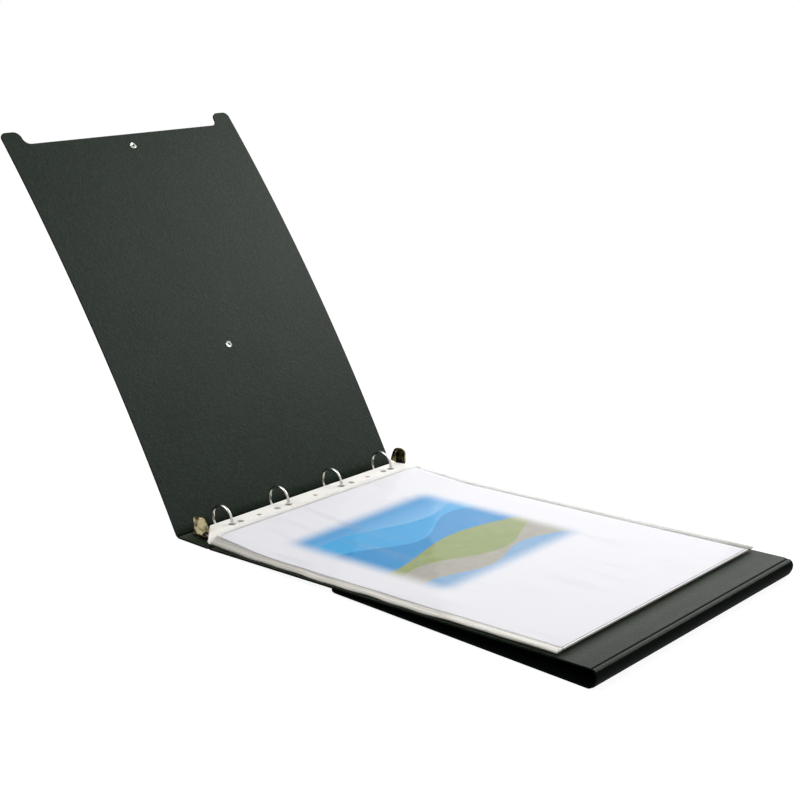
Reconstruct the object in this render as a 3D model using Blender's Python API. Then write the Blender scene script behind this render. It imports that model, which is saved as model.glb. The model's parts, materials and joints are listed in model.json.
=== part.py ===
"""Presentation ring binder for A3 sheets, lying open on a table.

The case is one creased sheet of polypropylene in five panels: the front cover with its two feet,
the ring spine, the rear cover, the end spine and the closing flap, which is folded under here.
X runs from the rings to the free end, Y runs along the ring line and Z is up.
The origin is on the table, under the middle of the ring spine. All sizes are in millimetres.
"""

import bmesh
import bpy
from math import asin, cos, pi, radians, sin, sqrt, tan
from mathutils import Matrix, Vector

MM = 0.001

# Paper format that the binder holds: A3
INSERT_LENGTH = 420.0
INSERT_WIDTH = 297.0
INSERT_SHEET = 0.3

# Case: one sheet, thinned to a crease between the panels
CASE_MARGIN = 2.0
SHEET = 1.8
CREASE_SHEET = 0.5
CREASE_TAPER = 3.0
CREASE_GAP = 2.0
SPINE_WIDTH = 48.0
REAR_MARGIN = 12.8
END_HEIGHT = 17.0
END_BULGE = 1.6
FLAP_LENGTH = 298.0
FLAP_CORNER = 12.0
FRONT_MARGIN = 4.2
FRONT_LEAN = 34.5
FRONT_BOW = 11.8
FOOT_LENGTH = 16.6
FOOT_WIDTH = 33.0
FOOT_CORNER = 7.0

# Press studs: two on the front cover, one snap on the flap
STUD_FROM_EDGE = 16.0
STUD_RADIUS = 4.6
STUD_HEIGHT = 3.0
STUD_WALL = 0.65
STUD_BULB = 0.35
STUD_BASE_HEIGHT = 0.6
STUD_BULB_SPAN = (1.65, 2.4)
EYELET_RADIUS = 4.0
EYELET_BORE = 1.4
EYELET_BARREL = 2.1
EYELET_FLANGE = 0.8
SNAP_FROM_EDGE = 20.0
SNAP_SLACK = 2.0
SNAP_RADIUS = 6.0
SNAP_HEIGHT = 2.2
SNAP_WEB = 0.66
SNAP_CHAMFER = 1.2
SNAP_POST = 1.6
CAP_RADIUS = 6.2
CAP_HEIGHT = 1.0
CAP_EDGE_HEIGHT = 0.3
CAP_CROWN_RADIUS = 3.7
CAP_CROWN_HEIGHT = 0.85

# Ring mechanism, fixed along the middle of the ring spine
RING_COUNT = 4
RING_PITCH = 80.0
RING_DIAMETER = 31.5
WIRE = 3.0
RING_CENTRE = 15.3
RING_END_ANGLE = 54.0
RING_FOOT_ANGLE = 25.0
RING_TIP_GAP = 0.4
HOUSING_OVERHANG = 6.5
HOUSING_WIDTH = 28.0
HOUSING_RISE = 6.3
HOUSING_SIDE = 3.1
HOUSING_WALL = 0.8
HOUSING_LIP = 1.8
RAIL_SHEET = 1.1
RAIL_SAG = 4.5
RAIL_OVERHANG = 23.0
RAIL_PIVOT_RISE = 2.8
RIVET_SHANK = 2.0
RIVET_HEAD = 3.6
RIVET_HEAD_HEIGHT = 0.7
RIVET_CROWN = 2.9
RIVET_CROWN_HEIGHT = 0.5
RIVET_FLANGE_HEIGHT = 0.8
LEVER_WIDTH = 12.0
LEVER_SHEET = 1.0
LEVER_FROM_END = 3.0
LEVER_PIN = 1.0
LEVER_PIN_RISE = 1.9
LEVER_TONGUE = 3.6
LEVER_ARM = 5.4
LEVER_ARM_RISE = 0.6
LEVER_BEND = 2.4
LEVER_SHOULDER = 5.2
LEVER_HEIGHT = 21.0
LEVER_TAB_WIDTH = 18.0
LEVER_CURL = 1.4

# Pockets: a perforated strip, a film sleeve and a paper insert each
POCKET_NAMES = ("bottom_pocket", "middle_pocket", "top_pocket")
POCKET_SEAM = 10.4
POCKET_START = 1.0
POCKET_END_CLEARANCE = 2.0
FILM = 0.3
STRIP_WIDTH = 23.5
STRIP_SHEET = 1.2
STRIP_LEVER_CLEARANCE = 11.1
STRIP_HOLE = 3.5
STRIP_EYE = 1.8
STRIP_SPARE_HOLES = (56.0, 108.0)
STRIP_EYE_PLACES = (0.0, 82.0)
INSERT_FROM_STRIP = 3.9
INSERT_FROM_EDGE = 2.5
SLEEVE_SLACK = 1.5

# Clear gap between two pieces that touch
GAP = 0.3
ROUND_SIDES = 32
CORNER_STEPS = 6
BOW_STEP = 45.0
SHARP_ANGLE = 35.0

# Colour, roughness and metallic value of each finish
FINISHES = {
    "grained_polypropylene": ((0.020, 0.026, 0.021), 0.48, 0.0),
    "nickel_plate": ((0.62, 0.58, 0.47), 0.22, 1.0),
    "clear_film": ((0.80, 0.79, 0.76), 0.18, 0.0),
    "white_strip": ((0.90, 0.89, 0.86), 0.40, 0.0),
    "white_paper": ((0.88, 0.88, 0.90), 0.70, 0.0),
}

# Sizes, heights and places that follow from the sizes above
POCKET_WIDTH = INSERT_WIDTH + 2 * POCKET_SEAM
POCKET_LENGTH = STRIP_WIDTH + GAP + INSERT_FROM_STRIP + INSERT_LENGTH + INSERT_FROM_EDGE
CASE_WIDTH = POCKET_WIDTH + 2 * CASE_MARGIN
REAR_LENGTH = POCKET_LENGTH + REAR_MARGIN
FRONT_LENGTH = POCKET_LENGTH + FRONT_MARGIN
RAIL_LENGTH = (RING_COUNT - 1) * RING_PITCH + 2 * RAIL_OVERHANG
HOUSING_LENGTH = RAIL_LENGTH + 2 * HOUSING_OVERHANG
RIVET_YS = (-RING_PITCH, RING_PITCH)
SHEET_MIDDLE = SHEET / 2
STUD_BORE = EYELET_BARREL + GAP
STUD_NECK_RADIUS = STUD_BORE + STUD_WALL
STUD_BULB_RADIUS = STUD_NECK_RADIUS + STUD_BULB
SNAP_MOUTH = STUD_BULB_RADIUS + GAP
SNAP_REACH = FLAP_LENGTH - SNAP_FROM_EDGE
STUD_FROM_CREASE = REAR_LENGTH - SNAP_REACH - SNAP_SLACK
RING_RADIUS = (RING_DIAMETER - WIRE) / 2
WIRE_RADIUS = WIRE / 2
HOUSING_FOOT = SHEET + GAP
HOUSING_CROWN = HOUSING_FOOT + HOUSING_RISE
RAIL_PIVOT_X = HOUSING_WIDTH / 2 - HOUSING_WALL - GAP - RAIL_SHEET / 2
RAIL_PIVOT_Z = HOUSING_FOOT + RAIL_PIVOT_RISE
LEVER_Y = HOUSING_LENGTH / 2 - LEVER_FROM_END
LEVER_Z = HOUSING_FOOT + LEVER_PIN_RISE
STRIP_BASE = HOUSING_CROWN + GAP + RIVET_HEAD_HEIGHT + GAP
POCKET_THICKNESS = 2 * FILM + 2 * GAP + INSERT_SHEET
POCKET_STEP = POCKET_THICKNESS + GAP
RING_YS = [(i - (RING_COUNT - 1) / 2) * RING_PITCH for i in range(RING_COUNT)]


def direction(heading):
    return Vector((cos(heading), 0.0, sin(heading)))


# The case seen from the side: the crease axes, and how each panel runs between them
REAR_TILT = asin(END_HEIGHT / REAR_LENGTH)
FRONT_CREASE = Vector((-SPINE_WIDTH / 2, 0.0, SHEET_MIDDLE))
REAR_CREASE = Vector((SPINE_WIDTH / 2, 0.0, SHEET_MIDDLE))
END_CREASE = REAR_CREASE + REAR_LENGTH * direction(REAR_TILT)
FLAP_CREASE = END_CREASE - Vector((0.0, 0.0, END_HEIGHT))
FRONT_HEADING = pi / 2 + radians(FRONT_LEAN)
FLAP_TILT = asin((SNAP_HEIGHT + GAP) / SNAP_REACH)
RING_AXIS = Vector((0.0, 0.0, RING_CENTRE))

# The pockets slope from the ring housing to the free end of the rear cover
REAR_TOP_AT_END = SHEET + (POCKET_START + POCKET_LENGTH - REAR_CREASE.x) * tan(REAR_TILT)
POCKET_TILT = asin((REAR_TOP_AT_END + POCKET_END_CLEARANCE - STRIP_BASE) / POCKET_LENGTH)

axes = {}


def clear_scene():
    for obj in list(bpy.data.objects):
        bpy.data.objects.remove(obj, do_unlink=True)


def add_axis(name, point, parent=None):
    """Put an empty on a joint axis; the pieces that turn about it hang from it."""
    empty = bpy.data.objects.new(name, None)
    empty.empty_display_size = 10 * MM
    bpy.context.scene.collection.objects.link(empty)
    start = Vector()
    if parent:
        empty.parent = axes[parent][0]
        start = axes[parent][1]
    empty.location = (point - start) * MM
    axes[name] = (empty, point)


def make_material(name, finish):
    colour, roughness, metallic = FINISHES[finish]
    material = bpy.data.materials.new(f"{name}_{finish}")
    material.use_nodes = True
    shader = material.node_tree.nodes["Principled BSDF"]
    shader.inputs["Base Color"].default_value = (*colour, 1.0)
    shader.inputs["Roughness"].default_value = roughness
    shader.inputs["Metallic"].default_value = metallic
    return material


def link_mesh(name, bm, axis):
    """Close a bmesh drawn in millimetres and hang its object from a joint axis."""
    empty, point = axes[axis]
    bmesh.ops.remove_doubles(bm, verts=bm.verts[:], dist=0.0005)
    bmesh.ops.recalc_face_normals(bm, faces=bm.faces[:])
    from_axis = Matrix.Scale(MM, 4) @ Matrix.Translation(-point)
    bmesh.ops.transform(bm, matrix=from_axis, verts=bm.verts[:])
    mesh = bpy.data.meshes.new(name)
    bm.to_mesh(mesh)
    bm.free()
    obj = bpy.data.objects.new(name, mesh)
    bpy.context.scene.collection.objects.link(obj)
    obj.parent = empty
    return obj


def add_part(name, bm, finish, axis, smooth=False):
    obj = link_mesh(name, bm, axis)
    obj.data.materials.append(make_material(name, finish))
    if smooth:
        obj.data.shade_smooth()
        obj.data.set_sharp_from_angle(angle=radians(SHARP_ANGLE))
    return obj


def add_boolean(obj, bm, axis, operation="DIFFERENCE"):
    """Cut a helper shape out of a piece, or join it on; the helper itself isn't a piece."""
    helper = link_mesh(f"{obj.name}_{operation.lower()}", bm, axis)
    helper.hide_render = True
    helper.display_type = "WIRE"
    modifier = obj.modifiers.new(operation.title(), "BOOLEAN")
    modifier.operation = operation
    modifier.solver = "EXACT"
    modifier.object = helper


def draw_cylinder(bm, start, end, radius, sides=ROUND_SIDES):
    run = Vector(end) - Vector(start)
    turn = run.to_track_quat("Z", "Y").to_matrix().to_4x4()
    place = Matrix.Translation((Vector(start) + Vector(end)) / 2) @ turn
    bmesh.ops.create_cone(bm, cap_ends=True, segments=sides, radius1=radius, radius2=radius,
                          depth=run.length, matrix=place)


def draw_box(bm, low, high):
    low = Vector(low)
    high = Vector(high)
    size = Matrix.Diagonal((*(high - low), 1.0))
    bmesh.ops.create_cube(bm, size=1.0, matrix=Matrix.Translation((low + high) / 2) @ size)


def draw_turned(bm, profile, place):
    """Spin a closed profile of (radius, height) points about the Z axis of a place."""
    known = set(bm.verts)
    verts = [bm.verts.new((radius, 0.0, height)) for radius, height in profile]
    edges = [bm.edges.new((a, b)) for a, b in zip(verts, verts[1:] + verts[:1])]
    bmesh.ops.spin(bm, geom=verts + edges, cent=(0, 0, 0), axis=(0, 0, 1), angle=2 * pi,
                   steps=ROUND_SIDES)
    bmesh.ops.remove_doubles(bm, verts=[v for v in bm.verts if v not in known], dist=0.0005)
    bmesh.ops.transform(bm, matrix=place, verts=[v for v in bm.verts if v not in known])


def draw_extrusion(bm, outline, low, high, place=Matrix()):
    """Extrude an outline of (x, z) points along Y, from low to high."""
    verts = [bm.verts.new(place @ Vector((x, low, z))) for x, z in outline]
    face = bm.faces.new(verts)
    moved = bmesh.ops.extrude_face_region(bm, geom=[face], use_keep_orig=True)["geom"]
    travel = place.to_3x3() @ Vector((0.0, high - low, 0.0))
    far = [item for item in moved if isinstance(item, bmesh.types.BMVert)]
    bmesh.ops.translate(bm, vec=travel, verts=far)


def arc_points(centre, radius, start, end, steps=CORNER_STEPS):
    """Points on an arc, with angles in degrees."""
    angles = [radians(start + (end - start) * i / steps) for i in range(steps + 1)]
    return [(centre[0] + radius * cos(a), centre[1] + radius * sin(a)) for a in angles]


def bent_run(start, heading, chord, bow=0.0):
    """Follow a panel from the side: its arc length, and (distance, height) to a place on it.

    The chord leaves the start at a heading, and a bow swells the panel to the chord's left.
    """
    if bow == 0.0:
        def place_flat(u, w):
            return start + u * direction(heading) + w * direction(heading + pi / 2)
        return chord, place_flat

    radius = (chord ** 2 / 4 + bow ** 2) / (2 * abs(bow))
    half = asin(chord / 2 / radius)
    length = 2 * radius * half
    side = 1 if bow > 0 else -1

    def place_bent(u, w):
        first = heading + side * half
        now = first - side * u / radius
        along = Vector((sin(first) - sin(now), 0.0, cos(now) - cos(first))) * radius * side
        return start + along + w * direction(now + pi / 2)

    return length, place_bent


def bend_panel(outline, place, creases, step):
    """Build a panel from its flat outline of (u, y) points, thinned towards its creases.

    The creases are distances along u, and the outline ends half a crease gap short of them.
    """
    bm = bmesh.new()
    bm.faces.new([bm.verts.new((u, y, 0.0)) for u, y in outline])
    first = min(u for u, y in outline)
    last = max(u for u, y in outline)
    count = max(1, round((last - first) / step))
    stations = [first + (last - first) * i / count for i in range(1, count)]
    stations += [abs(c - CREASE_GAP / 2 - CREASE_TAPER) for c in creases]
    for u in stations:
        bmesh.ops.bisect_plane(bm, geom=bm.verts[:] + bm.edges[:] + bm.faces[:], dist=0.0001,
                               plane_co=(u, 0, 0), plane_no=(1, 0, 0))
    bmesh.ops.solidify(bm, geom=bm.faces[:], thickness=1.0)
    bmesh.ops.recalc_face_normals(bm, faces=bm.faces[:])
    low = min(v.co.z for v in bm.verts)
    for vert in bm.verts:
        u, y, layer = vert.co
        side = -1 if layer - low < 0.5 else 1
        reach = min((abs(c - u) - CREASE_GAP / 2 for c in creases), default=CREASE_TAPER)
        share = min(1.0, max(0.0, reach / CREASE_TAPER))
        thickness = CREASE_SHEET + (SHEET - CREASE_SHEET) * share
        point = place(u, side * thickness / 2)
        vert.co = (point.x, y, point.z)
    return bm


def plain_outline(length, corner=0.0):
    """A panel's outline with creases at both ends, or with a free end that has round corners."""
    start = CREASE_GAP / 2
    half = CASE_WIDTH / 2
    if corner == 0.0:
        end = length - CREASE_GAP / 2
        return [(start, -half), (end, -half), (end, half), (start, half)]
    return ([(start, -half)]
            + arc_points((length - corner, -half + corner), corner, -90, 0)
            + arc_points((length - corner, half - corner), corner, 0, 90)
            + [(start, half)])


def front_outline():
    """The front cover's outline: two feet at its free end, each with an S-shaped inner side."""
    half = CASE_WIDTH / 2
    swing = FOOT_LENGTH / 2
    tip = FRONT_LENGTH + FOOT_LENGTH
    root = half - FOOT_WIDTH
    foot = arc_points((tip - FOOT_CORNER, half - FOOT_CORNER), FOOT_CORNER, 90, 0)
    foot += arc_points((tip - swing, root + 2 * swing), swing, 0, -90)
    foot += arc_points((FRONT_LENGTH + swing, root), swing, 90, 180)[1:]
    mirrored = [(u, -y) for u, y in reversed(foot)]
    return [(CREASE_GAP / 2, half)] + foot + mirrored + [(CREASE_GAP / 2, -half)]


def stud_frame(u):
    """Where a press stud sits on the front cover: Z points out of the inner face."""
    place = FRONT_RUN[1]
    middle = place(u, 0.0)
    inward = (place(u, -1.0) - middle).normalized()
    return Matrix.Translation(middle) @ inward.to_track_quat("Z", "Y").to_matrix().to_4x4()


def snap_frame():
    """Where the snap sits on the flap: Z points down, out of the face that meets the front cover."""
    place = FLAP_RUN[1]
    middle = place(SNAP_REACH, 0.0)
    down = (place(SNAP_REACH, 1.0) - middle).normalized()
    return Matrix.Translation(middle) @ down.to_track_quat("Z", "Y").to_matrix().to_4x4()


FRONT_RUN = bent_run(FRONT_CREASE, FRONT_HEADING, FRONT_LENGTH + FOOT_LENGTH, -FRONT_BOW)
SPINE_RUN = bent_run(FRONT_CREASE, 0.0, SPINE_WIDTH)
REAR_RUN = bent_run(REAR_CREASE, REAR_TILT, REAR_LENGTH)
END_RUN = bent_run(END_CREASE, -pi / 2, END_HEIGHT, END_BULGE)
FLAP_RUN = bent_run(FLAP_CREASE, pi - FLAP_TILT, FLAP_LENGTH)
STUD_PLACES = {"upper": FRONT_LENGTH - STUD_FROM_EDGE, "lower": STUD_FROM_CREASE}


def add_joint_axes():
    add_axis("binder", Vector())
    add_axis("front_cover_hinge", FRONT_CREASE, "binder")
    add_axis("rear_cover_fold", REAR_CREASE, "binder")
    add_axis("end_spine_hinge", END_CREASE, "rear_cover_fold")
    add_axis("flap_hinge", FLAP_CREASE, "end_spine_hinge")
    add_axis("lower_pockets_turn", RING_AXIS, "binder")
    add_axis("top_pocket_turn", RING_AXIS, "lower_pockets_turn")
    add_axis("left_rail_toggle", Vector((-RAIL_PIVOT_X, 0.0, RAIL_PIVOT_Z)), "binder")
    add_axis("right_rail_toggle", Vector((RAIL_PIVOT_X, 0.0, RAIL_PIVOT_Z)), "binder")
    add_axis("near_lever_press", Vector((0.0, -LEVER_Y, LEVER_Z)), "binder")
    add_axis("far_lever_press", Vector((0.0, LEVER_Y, LEVER_Z)), "binder")


def add_case():
    bm = bend_panel(front_outline(), FRONT_RUN[1], [0.0], BOW_STEP)
    front = add_part("front_cover", bm, "grained_polypropylene", "front_cover_hinge")
    holes = bmesh.new()
    for u in STUD_PLACES.values():
        frame = stud_frame(u)
        draw_cylinder(holes, frame @ Vector((0, 0, -SHEET)), frame @ Vector((0, 0, SHEET)),
                      EYELET_BARREL + GAP)
    add_boolean(front, holes, "front_cover_hinge")

    length, place = SPINE_RUN
    bm = bend_panel(plain_outline(length), place, [0.0, length], length)
    spine = add_part("ring_spine", bm, "grained_polypropylene", "binder")
    holes = bmesh.new()
    for y in RIVET_YS:
        seat = RIVET_FLANGE_HEIGHT + GAP
        profile = [(0.0, -SHEET), (RIVET_HEAD + GAP, -SHEET), (RIVET_HEAD + GAP, seat),
                   (RIVET_SHANK + GAP, seat), (RIVET_SHANK + GAP, 2 * SHEET), (0.0, 2 * SHEET)]
        draw_turned(holes, profile, Matrix.Translation((0, y, 0)))
    add_boolean(spine, holes, "binder")

    length, place = REAR_RUN
    bm = bend_panel(plain_outline(length), place, [0.0, length], length)
    add_part("rear_cover", bm, "grained_polypropylene", "rear_cover_fold")

    length, place = END_RUN
    bm = bend_panel(plain_outline(length), place, [0.0, length], length / 10)
    add_part("end_spine", bm, "grained_polypropylene", "end_spine_hinge", smooth=True)

    length, place = FLAP_RUN
    bm = bend_panel(plain_outline(length, FLAP_CORNER), place, [0.0], length)
    flap = add_part("closing_flap", bm, "grained_polypropylene", "flap_hinge")
    holes = bmesh.new()
    frame = snap_frame()
    draw_cylinder(holes, frame @ Vector((0, 0, -SHEET)), frame @ Vector((0, 0, SHEET)),
                  SNAP_POST + GAP)
    add_boolean(flap, holes, "flap_hinge")


def add_press_studs():
    face = SHEET_MIDDLE + GAP
    barrel_end = -face - STUD_HEIGHT / 2
    rolled = EYELET_FLANGE / 3
    eyelet = [(EYELET_BORE, barrel_end), (EYELET_BARREL, barrel_end), (EYELET_BARREL, face),
              (EYELET_RADIUS, face), (EYELET_RADIUS - rolled, face + 2 * rolled),
              (EYELET_RADIUS - 3 * rolled, face + EYELET_FLANGE), (EYELET_BORE, face + rolled)]
    bulb_low, bulb_high = STUD_BULB_SPAN
    stud = [(STUD_BORE, -face), (STUD_BORE, -face - STUD_HEIGHT),
            (STUD_NECK_RADIUS, -face - STUD_HEIGHT),
            (STUD_BULB_RADIUS, -face - bulb_high), (STUD_BULB_RADIUS, -face - bulb_low),
            (STUD_NECK_RADIUS, -face - STUD_BASE_HEIGHT - rolled),
            (STUD_RADIUS, -face - STUD_BASE_HEIGHT), (STUD_RADIUS, -face)]
    for name, u in STUD_PLACES.items():
        for piece, profile in (("stud_eyelet", eyelet), ("stud", stud)):
            bm = bmesh.new()
            draw_turned(bm, profile, stud_frame(u))
            add_part(f"{name}_{piece}", bm, "nickel_plate", "front_cover_hinge", smooth=True)

    post_end = face + SNAP_HEIGHT / 2
    profile = [(0.0, -face - CAP_HEIGHT), (CAP_CROWN_RADIUS, -face - CAP_CROWN_HEIGHT),
               (CAP_RADIUS, -face - CAP_EDGE_HEIGHT), (CAP_RADIUS, -face), (SNAP_POST, -face),
               (SNAP_POST, post_end), (0.0, post_end)]
    bm = bmesh.new()
    draw_turned(bm, profile, snap_frame())
    add_part("flap_snap_cap", bm, "nickel_plate", "flap_hinge", smooth=True)

    rim = face + SNAP_HEIGHT
    web = face + SNAP_WEB
    profile = [(SNAP_POST + GAP, face), (SNAP_RADIUS, face), (SNAP_RADIUS, post_end),
               (SNAP_RADIUS - SNAP_CHAMFER, rim), (SNAP_MOUTH, rim), (SNAP_MOUTH, web),
               (SNAP_POST + GAP, web)]
    bm = bmesh.new()
    draw_turned(bm, profile, snap_frame())
    add_part("flap_snap_socket", bm, "nickel_plate", "flap_hinge", smooth=True)


def housing_outline():
    """Half of an arched channel with inward lips, mirrored into the whole section."""
    outer = HOUSING_WIDTH / 2
    inner = outer - HOUSING_WALL
    shoulder = HOUSING_FOOT + HOUSING_SIDE
    rise = HOUSING_RISE - HOUSING_SIDE
    steps = 10
    quarter = [pi / 2 * i / steps for i in range(steps + 1)]
    over = [(outer * cos(a), shoulder + rise * sin(a)) for a in quarter]
    under = [(inner * cos(a), shoulder + (rise - HOUSING_WALL) * sin(a)) for a in reversed(quarter)]
    lip = inner - HOUSING_LIP
    lip_top = HOUSING_FOOT + HOUSING_WALL
    right_outside = [(lip, HOUSING_FOOT), (outer, HOUSING_FOOT)] + over
    right_inside = under + [(inner, lip_top), (lip, lip_top)]
    left_outside = [(-x, z) for x, z in reversed(right_outside)][1:]
    left_inside = [(-x, z) for x, z in reversed(right_inside)][:-1]
    return right_outside + left_outside + left_inside + right_inside


def add_housing():
    bm = bmesh.new()
    draw_extrusion(bm, housing_outline(), -HOUSING_LENGTH / 2, HOUSING_LENGTH / 2)
    housing = add_part("ring_housing", bm, "nickel_plate", "binder", smooth=True)

    cuts = bmesh.new()
    above = HOUSING_CROWN + 1
    slot_half = WIRE_RADIUS + 2 * GAP
    slot_in = RING_RADIUS * cos(radians(RING_END_ANGLE)) - WIRE_RADIUS
    for y in RING_YS:
        for side in (-1, 1):
            xs = sorted((side * slot_in, side * HOUSING_WIDTH))
            draw_box(cuts, (xs[0], y - slot_half, HOUSING_FOOT + HOUSING_WALL + GAP),
                     (xs[1], y + slot_half, above))
    for y in RIVET_YS:
        draw_cylinder(cuts, (0, y, HOUSING_CROWN - 3 * HOUSING_WALL), (0, y, above), RIVET_SHANK + GAP)
    for side in (-1, 1):
        notch = sorted((side * (LEVER_Y - LEVER_TONGUE), side * (HOUSING_LENGTH / 2 + 1)))
        half = LEVER_WIDTH / 2 + GAP
        draw_box(cuts, (-half, notch[0], HOUSING_FOOT + HOUSING_WALL), (half, notch[1], above))
        for flank in (-1, 1):
            inner = flank * (HOUSING_WIDTH / 2 - 2 * HOUSING_WALL)
            draw_cylinder(cuts, (inner, side * LEVER_Y, LEVER_Z),
                          (flank * HOUSING_WIDTH, side * LEVER_Y, LEVER_Z), LEVER_PIN + GAP, sides=16)
    add_boolean(housing, cuts, "binder")

    head = HOUSING_CROWN + GAP
    profile = [(0.0, 0.0), (RIVET_HEAD, 0.0), (RIVET_HEAD, RIVET_FLANGE_HEIGHT),
               (RIVET_SHANK, RIVET_FLANGE_HEIGHT), (RIVET_SHANK, head), (RIVET_HEAD, head),
               (RIVET_CROWN, head + RIVET_CROWN_HEIGHT), (0.0, head + RIVET_HEAD_HEIGHT)]
    for name, y in zip(("near", "far"), RIVET_YS):
        bm = bmesh.new()
        draw_turned(bm, profile, Matrix.Translation((0, y, 0)))
        add_part(f"{name}_housing_rivet", bm, "nickel_plate", "binder", smooth=True)


def draw_half_ring(bm, y, side, radius, first, last, sides=10, steps=14):
    """Sweep a wire round the ring circle; angles in degrees run down from the top of the ring."""
    place = Matrix.Translation(Vector((0, y, 0)) + RING_AXIS)
    lean = Matrix.Rotation(side * radians(first), 4, "Y")
    upright = Matrix.Rotation(pi / 2, 4, "Y")
    turn = place @ lean @ Matrix.Translation((0, 0, RING_RADIUS)) @ upright
    circle = bmesh.ops.create_circle(bm, cap_ends=False, segments=sides, radius=radius, matrix=turn)
    wire = circle["verts"]
    loop = wire + list({edge for vert in wire for edge in vert.link_edges})
    bmesh.ops.spin(bm, geom=loop, cent=place.translation, axis=(0, side, 0),
                   angle=radians(last - first), steps=steps)
    bmesh.ops.holes_fill(bm, edges=bm.edges[:])


def add_rails_and_rings():
    ring_last = 90 + RING_END_ANGLE
    ring_first = RING_TIP_GAP / 2 / RING_RADIUS * 180 / pi
    for name, side in (("left", -1), ("right", 1)):
        axis = f"{name}_rail_toggle"
        half = RAIL_SHEET / 2
        pivot = Matrix.Translation(axes[axis][1])
        place = pivot @ Matrix.Rotation(-side * radians(RAIL_SAG), 4, "Y")
        reach = (RAIL_PIVOT_X - GAP) / cos(radians(RAIL_SAG))
        section = arc_points((0, 0), half, -90, 90) + [(-reach, half), (-reach, -half)]
        outline = [(side * x, z) for x, z in section]
        bm = bmesh.new()
        draw_extrusion(bm, outline, -RAIL_LENGTH / 2, RAIL_LENGTH / 2, place)
        rail = add_part(f"{name}_rail", bm, "nickel_plate", axis)

        cuts = bmesh.new()
        for y in RING_YS:
            draw_half_ring(cuts, y, side, WIRE_RADIUS + GAP, ring_last - RING_FOOT_ANGLE,
                           ring_last + RING_FOOT_ANGLE, sides=14, steps=6)
        for y in RIVET_YS:
            draw_cylinder(cuts, (0, y, SHEET), (0, y, HOUSING_CROWN), RIVET_SHANK + 3 * GAP)
        add_boolean(rail, cuts, axis)

        for i, y in enumerate(RING_YS, start=1):
            bm = bmesh.new()
            draw_half_ring(bm, y, side, WIRE_RADIUS, ring_first, ring_last)
            add_part(f"{name}_half_ring_{i}", bm, "nickel_plate", axis, smooth=True)


def lever_path():
    """A lever from the side, from its tongue to the tip of its arched thumb tab.

    The places are (outward, up) from the pin, and each has its own width.
    """
    tongue_drop = LEVER_Z - (HOUSING_FOOT + LEVER_SHEET / 2 + GAP / 2)
    path = [(-LEVER_TONGUE, -tongue_drop), (-LEVER_SHEET, -tongue_drop), (0.0, 0.0)]
    path += arc_points((LEVER_ARM - LEVER_BEND, LEVER_ARM_RISE + LEVER_BEND), LEVER_BEND, -90, 0)
    widths = [LEVER_WIDTH] * len(path)
    for angle in range(0, 81, 10):
        share = sin(radians(angle))
        up = LEVER_SHOULDER + (LEVER_HEIGHT - LEVER_SHOULDER) * share
        path.append((LEVER_ARM + LEVER_CURL * share ** 2, up))
        widths.append(LEVER_TAB_WIDTH * cos(radians(angle)))
    return path, widths


def draw_strip(bm, path, widths, thickness, place):
    """Sweep a bent strip along a path of (outward, up) places, with its own width at each."""
    rows = []
    for i, point in enumerate(path):
        before = Vector(path[max(i - 1, 0)])
        after = Vector(path[min(i + 1, len(path) - 1)])
        along = (after - before).normalized()
        across = Vector((-along.y, along.x)) * thickness / 2
        row = []
        for face, edge in ((1, -1), (1, 1), (-1, 1), (-1, -1)):
            outward, up = Vector(point) + face * across
            row.append(bm.verts.new(place @ Vector((outward, edge * widths[i] / 2, up))))
        rows.append(row)
    for row, above in zip(rows, rows[1:]):
        for i in range(4):
            bm.faces.new((row[i], row[(i + 1) % 4], above[(i + 1) % 4], above[i]))
    bm.faces.new(rows[0])
    bm.faces.new(rows[-1])


def add_levers():
    path, widths = lever_path()
    for name, side in (("near", -1), ("far", 1)):
        axis = f"{name}_lever_press"
        turn = Matrix.Rotation(side * pi / 2, 4, "Z")
        place = Matrix.Translation(axes[axis][1]) @ turn
        bm = bmesh.new()
        draw_strip(bm, path, widths, LEVER_SHEET, place)
        lever = add_part(f"{name}_lever", bm, "nickel_plate", axis, smooth=True)
        pin = bmesh.new()
        reach = HOUSING_WIDTH / 2 - GAP
        draw_cylinder(pin, place @ Vector((0, -reach, 0)), place @ Vector((0, reach, 0)),
                      LEVER_PIN, sides=16)
        add_boolean(lever, pin, axis, "UNION")


def pocket_plane(level):
    """The middle plane of one pocket of the stack: X along the pocket, from its strip edge."""
    base = Vector((POCKET_START, 0.0, STRIP_BASE))
    tilt = Matrix.Rotation(-POCKET_TILT, 4, "Y")
    lift = POCKET_THICKNESS / 2 + level * POCKET_STEP
    return Matrix.Translation(base) @ tilt @ Matrix.Translation((0, 0, lift))


def ring_hole_reach(plane):
    """Distance along a pocket to where the ring wire passes through it."""
    centre = plane.inverted() @ RING_AXIS
    return centre.x + sqrt(RING_RADIUS ** 2 - centre.z ** 2)


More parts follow.
